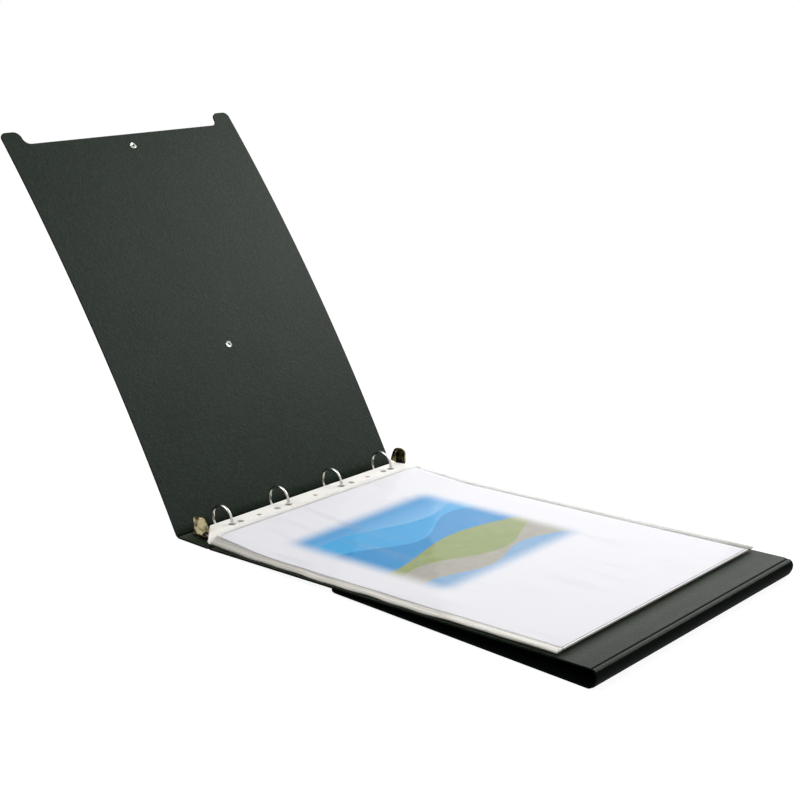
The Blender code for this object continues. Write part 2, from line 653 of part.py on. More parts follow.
def add_pocket(name, level, axis):
    plane = pocket_plane(level)
    half = POCKET_WIDTH / 2
    bm = bmesh.new()
    inner = min(LEVER_Y - STRIP_LEVER_CLEARANCE, half)
    end = min(inner + STRIP_WIDTH, half)
    shoulder = end - inner
    outline = [(0, -inner), (shoulder, -end), (STRIP_WIDTH, -end),
               (STRIP_WIDTH, end), (shoulder, end), (0, inner)]
    bottom = [bm.verts.new((x, y, -STRIP_SHEET / 2)) for x, y in outline]
    face = bm.faces.new(bottom)
    moved = bmesh.ops.extrude_face_region(bm, geom=[face], use_keep_orig=True)["geom"]
    top = [item for item in moved if isinstance(item, bmesh.types.BMVert)]
    bmesh.ops.translate(bm, vec=(0, 0, STRIP_SHEET), verts=top)
    bmesh.ops.transform(bm, matrix=plane, verts=bm.verts[:])
    strip = add_part(f"{name}_strip", bm, "white_strip", axis)

    cuts = bmesh.new()
    reach = ring_hole_reach(plane)
    spare = [sign * y for y in STRIP_SPARE_HOLES for sign in (-1, 1)]
    eyes = {sign * y for y in STRIP_EYE_PLACES for sign in (-1, 1)}
    for radius, places in ((STRIP_HOLE, RING_YS + spare), (STRIP_EYE, sorted(eyes))):
        for y in places:
            draw_cylinder(cuts, plane @ Vector((reach, y, -STRIP_SHEET)),
                          plane @ Vector((reach, y, STRIP_SHEET)), radius, sides=20)
    add_boolean(strip, cuts, axis)

    start = STRIP_WIDTH + GAP
    insert_end = POCKET_LENGTH - INSERT_FROM_EDGE
    insert_start = insert_end - INSERT_LENGTH
    bm = bmesh.new()
    draw_box(bm, (start, -half, -POCKET_THICKNESS / 2), (POCKET_LENGTH, half, POCKET_THICKNESS / 2))
    bmesh.ops.transform(bm, matrix=plane, verts=bm.verts[:])
    sleeve = add_part(f"{name}_sleeve", bm, "clear_film", axis)
    mouth = bmesh.new()
    slot = POCKET_THICKNESS / 2 - FILM
    slot_half = INSERT_WIDTH / 2 + SLEEVE_SLACK
    draw_box(mouth, (insert_start - SLEEVE_SLACK, -slot_half, -slot),
             (POCKET_LENGTH + SLEEVE_SLACK, slot_half, slot))
    bmesh.ops.transform(mouth, matrix=plane, verts=mouth.verts[:])
    add_boolean(sleeve, mouth, axis)

    bm = bmesh.new()
    draw_box(bm, (insert_start, -INSERT_WIDTH / 2, -INSERT_SHEET / 2),
             (insert_end, INSERT_WIDTH / 2, INSERT_SHEET / 2))
    bmesh.ops.transform(bm, matrix=plane, verts=bm.verts[:])
    add_part(f"{name}_insert", bm, "white_paper", axis)


def main():
    clear_scene()
    add_joint_axes()
    add_case()
    add_press_studs()
    add_housing()
    add_rails_and_rings()
    add_levers()
    for level, name in enumerate(POCKET_NAMES):
        axis = "top_pocket_turn" if name == POCKET_NAMES[-1] else "lower_pockets_turn"
        add_pocket(name, level, axis)


main()
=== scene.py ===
# %% [markdown]
# # A presentation ring binder, dressed for the camera
# The binder lies open on a table: the front cover leans back, clear pockets hang on four rings, and the
# rear cover rests on a flap that is folded under it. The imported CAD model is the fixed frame. It gives
# every place and every joint, and this script gives the shapes and finishes that the eye sees.

# %% Load the frame
import json
from math import asin, atan2, cos, degrees, pi, radians, sin

import bmesh
import bpy
from mathutils import Matrix, Vector


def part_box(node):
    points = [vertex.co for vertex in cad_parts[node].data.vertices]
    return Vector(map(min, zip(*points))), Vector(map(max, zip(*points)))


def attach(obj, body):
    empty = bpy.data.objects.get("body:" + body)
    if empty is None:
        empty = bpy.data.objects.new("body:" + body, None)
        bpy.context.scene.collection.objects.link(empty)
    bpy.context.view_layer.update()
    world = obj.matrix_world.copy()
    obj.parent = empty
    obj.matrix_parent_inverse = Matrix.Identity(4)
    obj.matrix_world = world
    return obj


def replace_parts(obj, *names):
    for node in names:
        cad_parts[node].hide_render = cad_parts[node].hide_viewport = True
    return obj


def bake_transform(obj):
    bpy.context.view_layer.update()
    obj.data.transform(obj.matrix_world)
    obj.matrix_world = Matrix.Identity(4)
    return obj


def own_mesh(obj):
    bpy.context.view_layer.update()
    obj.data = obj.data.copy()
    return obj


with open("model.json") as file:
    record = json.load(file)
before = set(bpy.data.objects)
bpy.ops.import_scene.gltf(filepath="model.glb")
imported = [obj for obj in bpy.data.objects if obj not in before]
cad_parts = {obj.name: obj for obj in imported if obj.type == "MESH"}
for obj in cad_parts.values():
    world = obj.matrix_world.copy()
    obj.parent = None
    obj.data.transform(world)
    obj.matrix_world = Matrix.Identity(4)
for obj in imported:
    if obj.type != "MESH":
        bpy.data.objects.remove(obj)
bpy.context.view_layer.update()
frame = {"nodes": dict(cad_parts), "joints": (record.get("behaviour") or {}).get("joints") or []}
MM = 0.001
hinges = {joint["name"]: Vector(joint["pos_m"]) for joint in frame["joints"]}

# %% [markdown]
# ## Camera
# A camera is an empty frame with a lens. This one was solved from points measured in the photograph:
# its place, the two angles that it looks along and its focal length. The image is square, 800 by 800.

# %% Place the camera
CAMERA_PLACE = Vector((1.13468, -1.11243, 0.56593))
CAMERA_AZIMUTH = 41.91
CAMERA_ELEVATION = 15.818
CAMERA_LENS = 69.94

azimuth = radians(CAMERA_AZIMUTH)
elevation = radians(CAMERA_ELEVATION)
backwards = Vector((sin(azimuth) * cos(elevation), -cos(azimuth) * cos(elevation), sin(elevation)))
camera = bpy.data.objects.new("camera", bpy.data.cameras.new("camera"))
camera.data.lens = CAMERA_LENS
camera.data.clip_end = 20.0
camera.location = CAMERA_PLACE
camera.rotation_euler = backwards.to_track_quat("Z", "Y").to_euler()
bpy.context.scene.collection.objects.link(camera)
bpy.context.scene.camera = camera
print("camera", round(CAMERA_PLACE.length, 2), "m from the ring spine")

# %% [markdown]
# ## Nodes and colours
# Materials and Geometry Nodes trees are both graphs of nodes, so one function adds a node to either. It
# sets the node's own settings, and each input is given a number or a link. Colours are written as the
# hex values of a picture editor, and shaders want linear light, so one function converts them. Patterns
# are measured in Object coordinates, which stay with a piece when it moves.

# %% Helpers for nodes and colours
def linear(hex_colour):
    values = [int(hex_colour[i:i + 2], 16) / 255 for i in (1, 3, 5)]
    return (*[v / 12.92 if v <= 0.04045 else ((v + 0.055) / 1.055) ** 2.4 for v in values], 1.0)


def add_node(tree, kind, inputs=None, **settings):
    node = tree.nodes.new(kind)
    for name, value in settings.items():
        setattr(node, name, value)
    for socket, value in (inputs or {}).items():
        if isinstance(value, bpy.types.NodeSocket):
            tree.links.new(value, node.inputs[socket])
        else:
            node.inputs[socket].default_value = value
    return node


def start_material(name, **values):
    material = bpy.data.materials.new(name)
    material.use_nodes = True
    shader = material.node_tree.nodes["Principled BSDF"]
    for socket, value in values.items():
        shader.inputs[socket.replace("_", " ")].default_value = value
    place = add_node(material.node_tree, "ShaderNodeTexCoord").outputs["Object"]
    return material, material.node_tree, shader, place


print("white in linear light:", linear("#FFFFFF"))

# %% [markdown]
# ## The case: grained polypropylene
# The case is one thick sheet of black-green polypropylene, extruded and rolled over an engraved drum that
# leaves a fine leather grain. The grain breaks the gloss into a soft satin, so little of the room is seen
# in it. A Voronoi texture gives the pebbles and a noise texture their uneven height. The real pebbles are
# about half a millimetre across, too fine to show at this distance, so they are drawn at 2.4 mm. The grain
# also darkens the colour in its hollows and lightens it on its pebbles: painted shade and painted highlight.
# At a flat angle the grain scatters a warm sheen. The outer face and the cut edges are matt, and their
# colour is darkened to nearly black as painted shade, so one function makes both finishes.

# %% Grained polypropylene
GRAIN_PEBBLE = 2.4
GRAIN_DEPTH = 0.5
GRAIN_PATCH = 45.0
# Colour factors from the grain's height: painted shade in the hollows, painted highlight on the pebbles.
HOLLOW_SHADE = 0.6
PEBBLE_HIGHLIGHT = 1.5


def case_plastic(name, dark, light, shine, smooth, rough):
    material, tree, shader, place = start_material(name, IOR=1.49, Specular_IOR_Level=shine)
    pebbles = add_node(tree, "ShaderNodeTexVoronoi", {
        "Vector": place, "Scale": 1 / (GRAIN_PEBBLE * MM)}, feature="SMOOTH_F1")
    uneven = add_node(tree, "ShaderNodeTexNoise", {
        "Vector": place, "Scale": 1 / (3 * GRAIN_PEBBLE * MM), "Detail": 3.0})
    grain = add_node(tree, "ShaderNodeMath", {
        0: pebbles.outputs["Distance"], 1: uneven.outputs["Fac"]}, operation="MULTIPLY")
    bump = add_node(tree, "ShaderNodeBump", {
        "Height": grain.outputs[0], "Strength": 0.6, "Distance": GRAIN_DEPTH * MM})
    tree.links.new(bump.outputs[0], shader.inputs["Normal"])
    patches = add_node(tree, "ShaderNodeTexNoise", {
        "Vector": place, "Scale": 1 / (GRAIN_PATCH * MM), "Detail": 4.0})
    tint = add_node(tree, "ShaderNodeMix", {
        "Factor": patches.outputs["Fac"], "A": linear(dark), "B": linear(light)}, data_type="RGBA")
    # Painted shade in the grain's hollows and painted highlight on its pebbles, multiplied into the colour.
    grain_shading = add_node(tree, "ShaderNodeMapRange", {
        "Value": grain.outputs[0], "From Max": 0.4, "To Min": HOLLOW_SHADE, "To Max": PEBBLE_HIGHLIGHT})
    patches_and_grain_shading = add_node(tree, "ShaderNodeMix", {
        "Factor": 1.0, "A": tint.outputs["Result"], "B": grain_shading.outputs[0]}, data_type="RGBA",
        blend_type="MULTIPLY")
    tree.links.new(patches_and_grain_shading.outputs["Result"], shader.inputs["Base Color"])
    satin = add_node(tree, "ShaderNodeMapRange", {
        "Value": uneven.outputs["Fac"], "To Min": smooth, "To Max": rough})
    tree.links.new(satin.outputs[0], shader.inputs["Roughness"])
    print("made", material.name)
    return material


polypropylene = case_plastic("grained_polypropylene", "#161F18", "#1F2921", 0.10, 0.40, 0.54)
grained_shader = polypropylene.node_tree.nodes["Principled BSDF"]
grained_shader.inputs["Sheen Weight"].default_value = 0.22
grained_shader.inputs["Sheen Roughness"].default_value = 0.35
grained_shader.inputs["Sheen Tint"].default_value = linear("#E6DFC8")
# A matt copy of the case plastic, darkened to nearly black: painted shade on the back, the cut edges and the
# end.
shaded_matt_plastic = case_plastic("matt_polypropylene", "#060A07", "#0A100C", 0.01, 0.45, 0.60)

# %% [markdown]
# ## The metal: nickel plate
# Rings, levers, studs and the ring housing are steel, plated with bright nickel. Nickel mirrors what is
# around it with a faint warm cast, and handling leaves a thin haze. A noise texture puts the haze into both
# roughness and tone. The levers' plate is darker and warmer, in broad patches from dark brown to pale
# brass: partly tarnish, and partly painted reflection of a dark, warm room.

# %% Nickel plate
BRIGHT_BELOW = 0.3
HAZY_ABOVE = 0.7


def nickel_plate(name, dark, light, bright, hazy, patch, detail):
    material, tree, shader, place = start_material(name, Metallic=1.0)
    cloud = add_node(tree, "ShaderNodeTexNoise", {
        "Vector": place, "Scale": 1 / (patch * MM), "Detail": detail})
    haze = add_node(tree, "ShaderNodeMapRange", {
        "Value": cloud.outputs["Fac"], "From Min": BRIGHT_BELOW, "From Max": HAZY_ABOVE},
        interpolation_type="SMOOTHSTEP")
    polish = add_node(tree, "ShaderNodeMapRange", {
        "Value": haze.outputs[0], "To Min": bright, "To Max": hazy})
    tree.links.new(polish.outputs[0], shader.inputs["Roughness"])
    plate = add_node(tree, "ShaderNodeMix", {
        "Factor": haze.outputs[0], "A": linear(dark), "B": linear(light)}, data_type="RGBA")
    tree.links.new(plate.outputs["Result"], shader.inputs["Base Color"])
    print("made", material.name)
    return material


nickel = nickel_plate("nickel_plated_steel", "#B5B5AE", "#C8C7C1", 0.07, 0.12, patch=4.0, detail=5.0)
# The levers' darker, warmer plate patches: partly tarnish, partly painted reflection.
tarnish_and_reflection_nickel = nickel_plate("worn_nickel_plate", "#3A3120", "#B0A47E", 0.06, 0.18, patch=6.0, detail=1.0)

# %% [markdown]
# ## The panels of the case
# The five panels are one sheet with pressed creases. Each could be a plain box, but the sheet thins towards
# a crease and a cover bends. So a panel is a flat outline, cut across every centimetre or two and given the
# thickness of the sheet, and a Geometry Nodes tree bends the front cover. Only the end spine is drawn in
# another way.

# %% Helpers for pieces and trees
SHEET = 1.8
CREASE_SHEET = 0.5
CREASE_TAPER = 1.3
CREASE_GAP = 2.0
EDGE_ROUND = 0.45
case_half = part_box("rear_cover")[1].y / MM


def new_piece(name, bm, material):
    mesh = bpy.data.meshes.new(name)
    bmesh.ops.remove_doubles(bm, verts=bm.verts[:], dist=1e-6)
    bmesh.ops.recalc_face_normals(bm, faces=bm.faces[:])
    bm.to_mesh(mesh)
    bm.free()
    mesh.materials.append(material)
    mesh.shade_smooth()
    piece = bpy.data.objects.new(name, mesh)
    bpy.context.scene.collection.objects.link(piece)
    return piece


def new_tree(name, sizes):
    tree = bpy.data.node_groups.new(name, "GeometryNodeTree")
    tree.interface.new_socket("Geometry", in_out="INPUT", socket_type="NodeSocketGeometry")
    for size, kind in sizes.items():
        tree.interface.new_socket(size, in_out="INPUT", socket_type=f"NodeSocket{kind}")
    tree.interface.new_socket("Geometry", in_out="OUTPUT", socket_type="NodeSocketGeometry")
    given = add_node(tree, "NodeGroupInput").outputs
    return tree, given


def end_tree(tree, geometry, material):
    real = add_node(tree, "GeometryNodeRealizeInstances", {"Geometry": geometry})
    painted = add_node(tree, "GeometryNodeSetMaterial", {"Geometry": real.outputs[0], "Material": material})
    add_node(tree, "NodeGroupOutput", {"Geometry": painted.outputs[0]})


def run_tree(piece, tree, **sizes):
    """Run a tree on a piece and keep the result as the piece's plain mesh."""
    modifier = piece.modifiers.new(tree.name, "NODES")
    modifier.node_group = tree
    for item in tree.interface.items_tree:
        key = item.name.lower().replace(" ", "_")
        if item.in_out == "INPUT" and key in sizes:
            modifier[item.identifier] = sizes[key]
    shown = piece.evaluated_get(bpy.context.evaluated_depsgraph_get())
    made = bpy.data.meshes.new_from_object(shown)
    piece.modifiers.remove(modifier)
    piece.data = made


def round_edges(piece, width=EDGE_ROUND, segments=3):
    bevel = piece.modifiers.new("rounded edges", "BEVEL")
    bevel.width = width * MM
    bevel.segments = segments
    bevel.limit_method = "ANGLE"
    bevel.angle_limit = radians(50)
    bevel.harden_normals = True
    return piece


def paint_outside(panel, inward, facing=0.4):
    """The face that points inward keeps the grain; the back and the cut edges get the matt copy, darkened as
    painted shade.
    """
    panel.data.materials.append(shaded_matt_plastic)
    for face in panel.data.polygons:
        face.material_index = 0 if face.normal.dot(inward) > facing else 1


print("case half width", round(case_half, 1), "mm")

# %% Draw a flat panel
def arc(centre, radius, start, end, steps=10):
    turns = [radians(start + (end - start) * i / steps) for i in range(steps + 1)]
    return [(centre[0] + radius * cos(t), centre[1] + radius * sin(t)) for t in turns]


def flat_panel(outline, creases, step):
    """A panel in its own (length, width, height), thinned towards its creases."""
    bm = bmesh.new()
    bm.faces.new([bm.verts.new((u * MM, y * MM, 0)) for u, y in outline])
    first = min(u for u, y in outline)
    last = max(u for u, y in outline)
    count = max(1, round((last - first) / step))
    cuts = [first + (last - first) * i / count for i in range(1, count)]
    # One more cut on the panel's side of each crease, where the taper starts.
    cuts += [abs(crease - CREASE_GAP / 2 - CREASE_TAPER) for crease in creases]
    for u in cuts:
        bmesh.ops.bisect_plane(bm, geom=bm.verts[:] + bm.edges[:] + bm.faces[:], dist=1e-7,
                               plane_co=(u * MM, 0, 0), plane_no=(1, 0, 0))
    bmesh.ops.solidify(bm, geom=bm.faces[:], thickness=SHEET * MM)
    low = min(vert.co.z for vert in bm.verts)
    for vert in bm.verts:
        side = -1 if vert.co.z - low < SHEET / 2 * MM else 1
        reach = min(abs(crease - vert.co.x / MM) for crease in creases) - CREASE_GAP / 2
        share = min(1.0, max(0.0, reach / CREASE_TAPER))
        vert.co.z = side * (CREASE_SHEET + (SHEET - CREASE_SHEET) * share) / 2 * MM
    return bm


def strip_outline(length, corner=0.0):
    """A panel between two creases, or with round corners at a free end."""
    start = CREASE_GAP / 2
    if corner == 0:
        end = length - CREASE_GAP / 2
        return [(start, -case_half), (end, -case_half), (end, case_half), (start, case_half)]
    tip = length - corner
    return ([(start, -case_half)] + arc((tip, corner - case_half), corner, -90, 0)
            + arc((tip, case_half - corner), corner, 0, 90) + [(start, case_half)])


print("panel helpers ready")

# %% [markdown]
# ### Closed shells
# The end spine, the levers and the pieces of the pockets are thin curved sheets, which a flat outline can't
# give. Each is drawn as a grid of points on its middle surface. Moving every point half a thickness to
# either side makes two skins, and a rim closes them. The Solidify modifier does nearly the same, but here
# the thickness can change from point to point.

# %% Draw a closed shell on a grid of points
def ease(value, low, high):
    t = min(1.0, max(0.0, (value - low) / (high - low)))
    return t * t * (3 - 2 * t)


def mix(low, high, share):
    return low + (high - low) * share


def spread(low, high, step):
    count = max(1, round((high - low) / step))
    return [low + (high - low) * i / count for i in range(count + 1)]


def draw_shell(bm, grid, thickness):
    """Give a grid of points in mm a thickness and close it; thickness(i, j) is in mm."""
    rows = len(grid)
    columns = len(grid[0])
    layers = ([], [])
    for i in range(rows):
        for layer in layers:
            layer.append([])
        for j in range(columns):
            along = grid[min(i + 1, rows - 1)][j] - grid[max(i - 1, 0)][j]
            across = grid[i][min(j + 1, columns - 1)] - grid[i][max(j - 1, 0)]
            normal = along.cross(across).normalized() * thickness(i, j) / 2
            for layer, side in zip(layers, (1, -1)):
                layer[i].append(bm.verts.new((grid[i][j] + side * normal) * MM))
    for layer in layers:
        for i in range(rows - 1):
            for j in range(columns - 1):
                bm.faces.new((layer[i][j], layer[i + 1][j], layer[i + 1][j + 1], layer[i][j + 1]))
    rim = [(i, 0) for i in range(rows - 1)] + [(rows - 1, j) for j in range(columns - 1)]
    rim += [(i, columns - 1) for i in range(rows - 1, 0, -1)] + [(0, j) for j in range(columns - 1, 0, -1)]
    for (a, b), (c, d) in zip(rim, rim[1:] + rim[:1]):
        bm.faces.new((layers[0][a][b], layers[0][c][d], layers[1][c][d], layers[1][a][b]))
    return bm


print("shell helpers ready")

# %% [markdown]
# ### Front cover
# The front cover leans back from its crease at the ring spine and bows a little. Its free end has two feet
# with S-shaped inner sides, on which it stands when the binder is used as an easel. The bow follows a rule,
# so a Geometry Nodes tree rolls the flat panel round a circle. It turns the distance along the panel into
# an angle, swings an arm of the circle's radius to the point and another to the crease, and the
# difference between the two arms is where the point lies from the crease.

# %% A tree that rolls a panel round a circle
roll_tree, given = new_tree("roll_panel", {"Start": "Vector", "Heading": "Float", "Radius": "Float"})
point = add_node(roll_tree, "GeometryNodeInputPosition").outputs[0]
flat = add_node(roll_tree, "ShaderNodeSeparateXYZ", {0: point}).outputs
turned = add_node(roll_tree, "ShaderNodeMath", {0: flat["X"], 1: given["Radius"]}, operation="DIVIDE")
reach = add_node(roll_tree, "ShaderNodeMath", {0: flat["Z"], 1: given["Radius"]}, operation="ADD")
arms = []
for turn, width, length in ((turned.outputs[0], flat["Y"], reach.outputs[0]), (0.0, 0.0, given["Radius"])):
    arm = add_node(roll_tree, "ShaderNodeCombineXYZ", {"Y": width, "Z": length})
    angle = add_node(roll_tree, "ShaderNodeMath", {0: turn, 1: given["Heading"]}, operation="SUBTRACT")
    arms.append(add_node(roll_tree, "ShaderNodeVectorRotate", {
        "Vector": arm.outputs[0], "Angle": angle.outputs[0]}, rotation_type="Y_AXIS"))
rolled = add_node(roll_tree, "ShaderNodeVectorMath", {
    0: arms[0].outputs[0], 1: arms[1].outputs[0]}, operation="SUBTRACT")
placed = add_node(roll_tree, "ShaderNodeVectorMath", {
    0: rolled.outputs[0], 1: given["Start"]}, operation="ADD")
moved = add_node(roll_tree, "GeometryNodeSetPosition", {
    "Geometry": given["Geometry"], "Position": placed.outputs[0]})
end_tree(roll_tree, moved.outputs[0], polypropylene)
print("tree", roll_tree.name, "has", len(roll_tree.nodes), "nodes")

# %% Front cover
FRONT_LENGTH = 454.4
FOOT_LENGTH = 16.6
FOOT_WIDTH = 33.0
FOOT_CORNER = 7.0
FRONT_LEAN = 34.5
FRONT_BOW = 11.8

tip = FRONT_LENGTH + FOOT_LENGTH
front_heading = radians(90 + FRONT_LEAN)
# The circle's centre lies behind the cover, so the radius is negative.
front_radius = -(tip ** 2 / 4 + FRONT_BOW ** 2) / (2 * FRONT_BOW)
front_half = asin(tip / 2 / front_radius)
swing = FOOT_LENGTH / 2
root = case_half - FOOT_WIDTH
foot = arc((tip - FOOT_CORNER, case_half - FOOT_CORNER), FOOT_CORNER, 90, 0)
foot += arc((tip - swing, root + 2 * swing), swing, 0, -90)
foot += arc((FRONT_LENGTH + swing, root), swing, 90, 180)[1:]
other_foot = [(u, -y) for u, y in reversed(foot)]
outline = [(CREASE_GAP / 2, case_half)] + foot + other_foot + [(CREASE_GAP / 2, -case_half)]

front_cover = new_piece("front_cover_panel", flat_panel(outline, [0.0], step=10.0), polypropylene)
run_tree(front_cover, roll_tree, start=hinges["front_cover_hinge"], heading=front_heading + front_half,
         radius=front_radius * MM)
paint_outside(front_cover, Vector((sin(front_heading), 0, -cos(front_heading))))
round_edges(front_cover)
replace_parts(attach(front_cover, "front_cover"), "front_cover")
print("front cover:", len(front_cover.data.polygons), "faces")

# %% [markdown]
# ### Ring spine, rear cover and flap
# The ring spine and the rear cover run from crease to crease, and the flap from a crease to a free end with
# round corners. The rear cover slopes up to its far end, where the end spine turns round to the flap on the
# table. The three differ only in outline and place, so one function lays them.

# %% The flat panels
FLAP_LENGTH = 298.0
FLAP_CORNER = 12.0
creases = {name: hinges[name] for name in ("rear_cover_fold", "end_spine_hinge", "flap_hinge")}
rear_run = creases["end_spine_hinge"] - creases["rear_cover_fold"]
spine_run = creases["rear_cover_fold"] - hinges["front_cover_hinge"]
end_run = creases["flap_hinge"] - creases["end_spine_hinge"]
flap_low, flap_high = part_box("closing_flap")
flap_rise = asin((flap_high.z - flap_low.z - SHEET * MM) / (FLAP_LENGTH * MM))


def lay_panel(name, node, outline, creases, start, heading, up=1):
    panel = new_piece(name, flat_panel(outline, creases, step=20.0), polypropylene)
    panel.data.transform(Matrix.Translation(start) @ Matrix.Rotation(-heading, 4, "Y"))
    paint_outside(panel, Vector((0, 0, up)))
    round_edges(panel)
    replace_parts(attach(panel, node), node)
    print(name, round(max(u for u, y in outline), 1), "mm long")


for name, node, start, run in (("ring_spine_panel", "ring_spine", hinges["front_cover_hinge"], spine_run),
                               ("rear_cover_panel", "rear_cover", creases["rear_cover_fold"], rear_run)):
    length = run.length / MM
    lay_panel(name, node, strip_outline(length), [0.0, length], start, atan2(run.z, run.x))
lay_panel("flap_panel", "closing_flap", strip_outline(FLAP_LENGTH, FLAP_CORNER), [0.0],
          creases["flap_hinge"], pi - flap_rise, up=-1)

# %% [markdown]
# ### End spine
# Where the sheet turns down to the flap it makes a shoulder and then slants back, a path that four control
# points of a Bezier curve give.

# %% End spine
END_SHOULDER = ((0.0, 0.0), (8.5, 0.5), (6.5, 10.0), (0.0, end_run.length / MM))
END_REACH = (0.04, 0.93)
END_STEPS = 28


def end_point(t):
    """A point of the end spine's path, t running from its upper to its lower crease."""
    weights = ((1 - t) ** 3, 3 * t * (1 - t) ** 2, 3 * t * t * (1 - t), t ** 3)
    out = sum(weight * point[0] for weight, point in zip(weights, END_SHOULDER))
    down = sum(weight * point[1] for weight, point in zip(weights, END_SHOULDER))
    return creases["end_spine_hinge"] / MM + Vector((out, 0, 0)) + down * end_run.normalized()


def end_thickness(i, j):
    reach = min((end_path[i] - creases[name] / MM).length for name in ("end_spine_hinge", "flap_hinge"))
    return mix(CREASE_SHEET, SHEET, min(1.0, max(0.0, (reach - CREASE_GAP / 2) / CREASE_TAPER)))


end_path = [end_point(mix(*END_REACH, i / END_STEPS)) for i in range(END_STEPS + 1)]
end_ys = spread(-case_half, case_half, 40.0)
end_grid = [[point + Vector((0, y, 0)) for y in end_ys] for point in end_path]
end_spine = new_piece("end_spine_panel", draw_shell(bmesh.new(), end_grid, end_thickness), polypropylene)
# Only the faces that look up keep the grain; the rest of the end spine gets the darkened matt copy: painted
# shade.
paint_outside(end_spine, Vector((0, 0, 1)), facing=0.7)
round_edges(end_spine, width=0.2)
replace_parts(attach(end_spine, "end_spine"), "end_spine")
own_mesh(end_spine)
print("end spine bulges", round(max(p.x for p in end_path) - creases["end_spine_hinge"].x / MM, 1), "mm")

# %% [markdown]
# ### Creases
# Between two panels the sheet is pressed down to a thin web that bends: a living hinge.

# %% Webs of the four creases
WEB_SHEET = 0.55
WEB_OVERLAP = 1.2
WEB_STEPS = 8


def add_web(name, crease, before, after):
    """A thin strip round a crease, from the panel that ends there to the panel that starts there."""
    reach = (CREASE_GAP / 2 + WEB_OVERLAP) * MM
    first = crease - reach * before.normalized()
    last = crease + reach * after.normalized()
    grid = []
    for t in spread(0.0, 1.0, 1 / WEB_STEPS):
        middle = ((1 - t) ** 2 * first + 2 * t * (1 - t) * crease + t ** 2 * last) / MM
        grid.append([middle + Vector((0, y, 0)) for y in (-case_half, case_half)])
    # The web gets the darkened matt copy, so the groove reads as a painted shaded line.
    web = new_piece(name, draw_shell(bmesh.new(), grid, lambda i, j: WEB_SHEET), shaded_matt_plastic)
    web.data.set_sharp_from_angle(angle=radians(50))
    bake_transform(web)


def heading_vector(angle):
    return Vector((cos(angle), 0, sin(angle)))


front_start = heading_vector(front_heading + front_half)
end_first = end_path[0] - creases["end_spine_hinge"] / MM
end_last = creases["flap_hinge"] / MM - end_path[-1]
flap_start = heading_vector(pi - flap_rise)
add_web("front_crease_web", hinges["front_cover_hinge"], -spine_run, front_start)
add_web("rear_crease_web", creases["rear_cover_fold"], spine_run, rear_run)
add_web("end_crease_web", creases["end_spine_hinge"], rear_run, end_first)
add_web("flap_crease_web", creases["flap_hinge"], end_last, flap_start)
print("made four webs")

# %% [markdown]
# ## Press studs
# Two studs on the front cover and a snap on the flap hold the binder shut or standing. They are small turned
# and pressed pieces, and only the rolled eyelets show here. The CAD solids already have their round
# profiles, so they keep their shape and only get the plate.

# %% Studs and snap
def plate(*nodes):
    for node in nodes:
        frame["nodes"][node].data.materials.clear()
        frame["nodes"][node].data.materials.append(nickel)
    print("plated", *nodes)


plate("upper_stud_eyelet", "lower_stud_eyelet", "upper_stud", "lower_stud", "flap_snap_cap",
      "flap_snap_socket")

# %% [markdown]
# ## Ring mechanism
# Under the pockets an arched housing holds two sprung rails. Each rail carries four half rings of steel
# wire. A half ring is an arc with a round wire section, repeated at the filing pitch, so Geometry Nodes
# draw one and put a copy on each point of a line. Housing, rails and rivets are mostly hidden and keep
# their CAD shape.

# %% A tree for a row of half rings
def row_of_copies(tree, shape, middle, pitch, count):
    """Copies of a shape on a line along Y, evenly to both sides of its middle."""
    step = add_node(tree, "ShaderNodeCombineXYZ", {"Y": pitch})
    half_count = add_node(tree, "ShaderNodeMath", {0: count, 1: -0.5, 2: 0.5}, operation="MULTIPLY_ADD")
    back_off = add_node(tree, "ShaderNodeVectorMath", {
        0: step.outputs[0], "Scale": half_count.outputs[0]}, operation="SCALE")
    first = add_node(tree, "ShaderNodeVectorMath", {0: middle, 1: back_off.outputs[0]}, operation="ADD")
    row = add_node(tree, "GeometryNodeMeshLine", {
        "Count": count, "Start Location": first.outputs[0], "Offset": step.outputs[0]})
    return add_node(tree, "GeometryNodeInstanceOnPoints", {
        "Points": row.outputs[0], "Instance": shape}).outputs[0]


ring_tree, given = new_tree("half_ring_row", {"Centre": "Vector", "Pitch": "Float", "Count": "Int",
                                              "Ring Radius": "Float", "Wire Radius": "Float",
                                              "First Angle": "Float", "Sweep": "Float"})
bend = add_node(ring_tree, "GeometryNodeCurveArc", {
    "Resolution": 40, "Radius": given["Ring Radius"], "Start Angle": given["First Angle"],
    "Sweep Angle": given["Sweep"]})
wire = add_node(ring_tree, "GeometryNodeCurvePrimitiveCircle", {
    "Resolution": 16, "Radius": given["Wire Radius"]})
half_ring = add_node(ring_tree, "GeometryNodeCurveToMesh", {
    "Curve": bend.outputs["Curve"], "Profile Curve": wire.outputs["Curve"], "Fill Caps": True})
standing = add_node(ring_tree, "GeometryNodeTransform", {
    "Geometry": half_ring.outputs[0], "Rotation": (pi / 2, 0, 0)})
copies = row_of_copies(ring_tree, standing.outputs[0], given["Centre"], given["Pitch"], given["Count"])
end_tree(ring_tree, copies, nickel)
print("tree", ring_tree.name, "has", len(ring_tree.nodes), "nodes")

# %% Half rings
RING_PITCH = 80.0
RING_COUNT = 4
RING_RADIUS = 14.25
WIRE_RADIUS = 1.5
RING_FOOT = 54.0
RING_TIP_GAP = 0.5

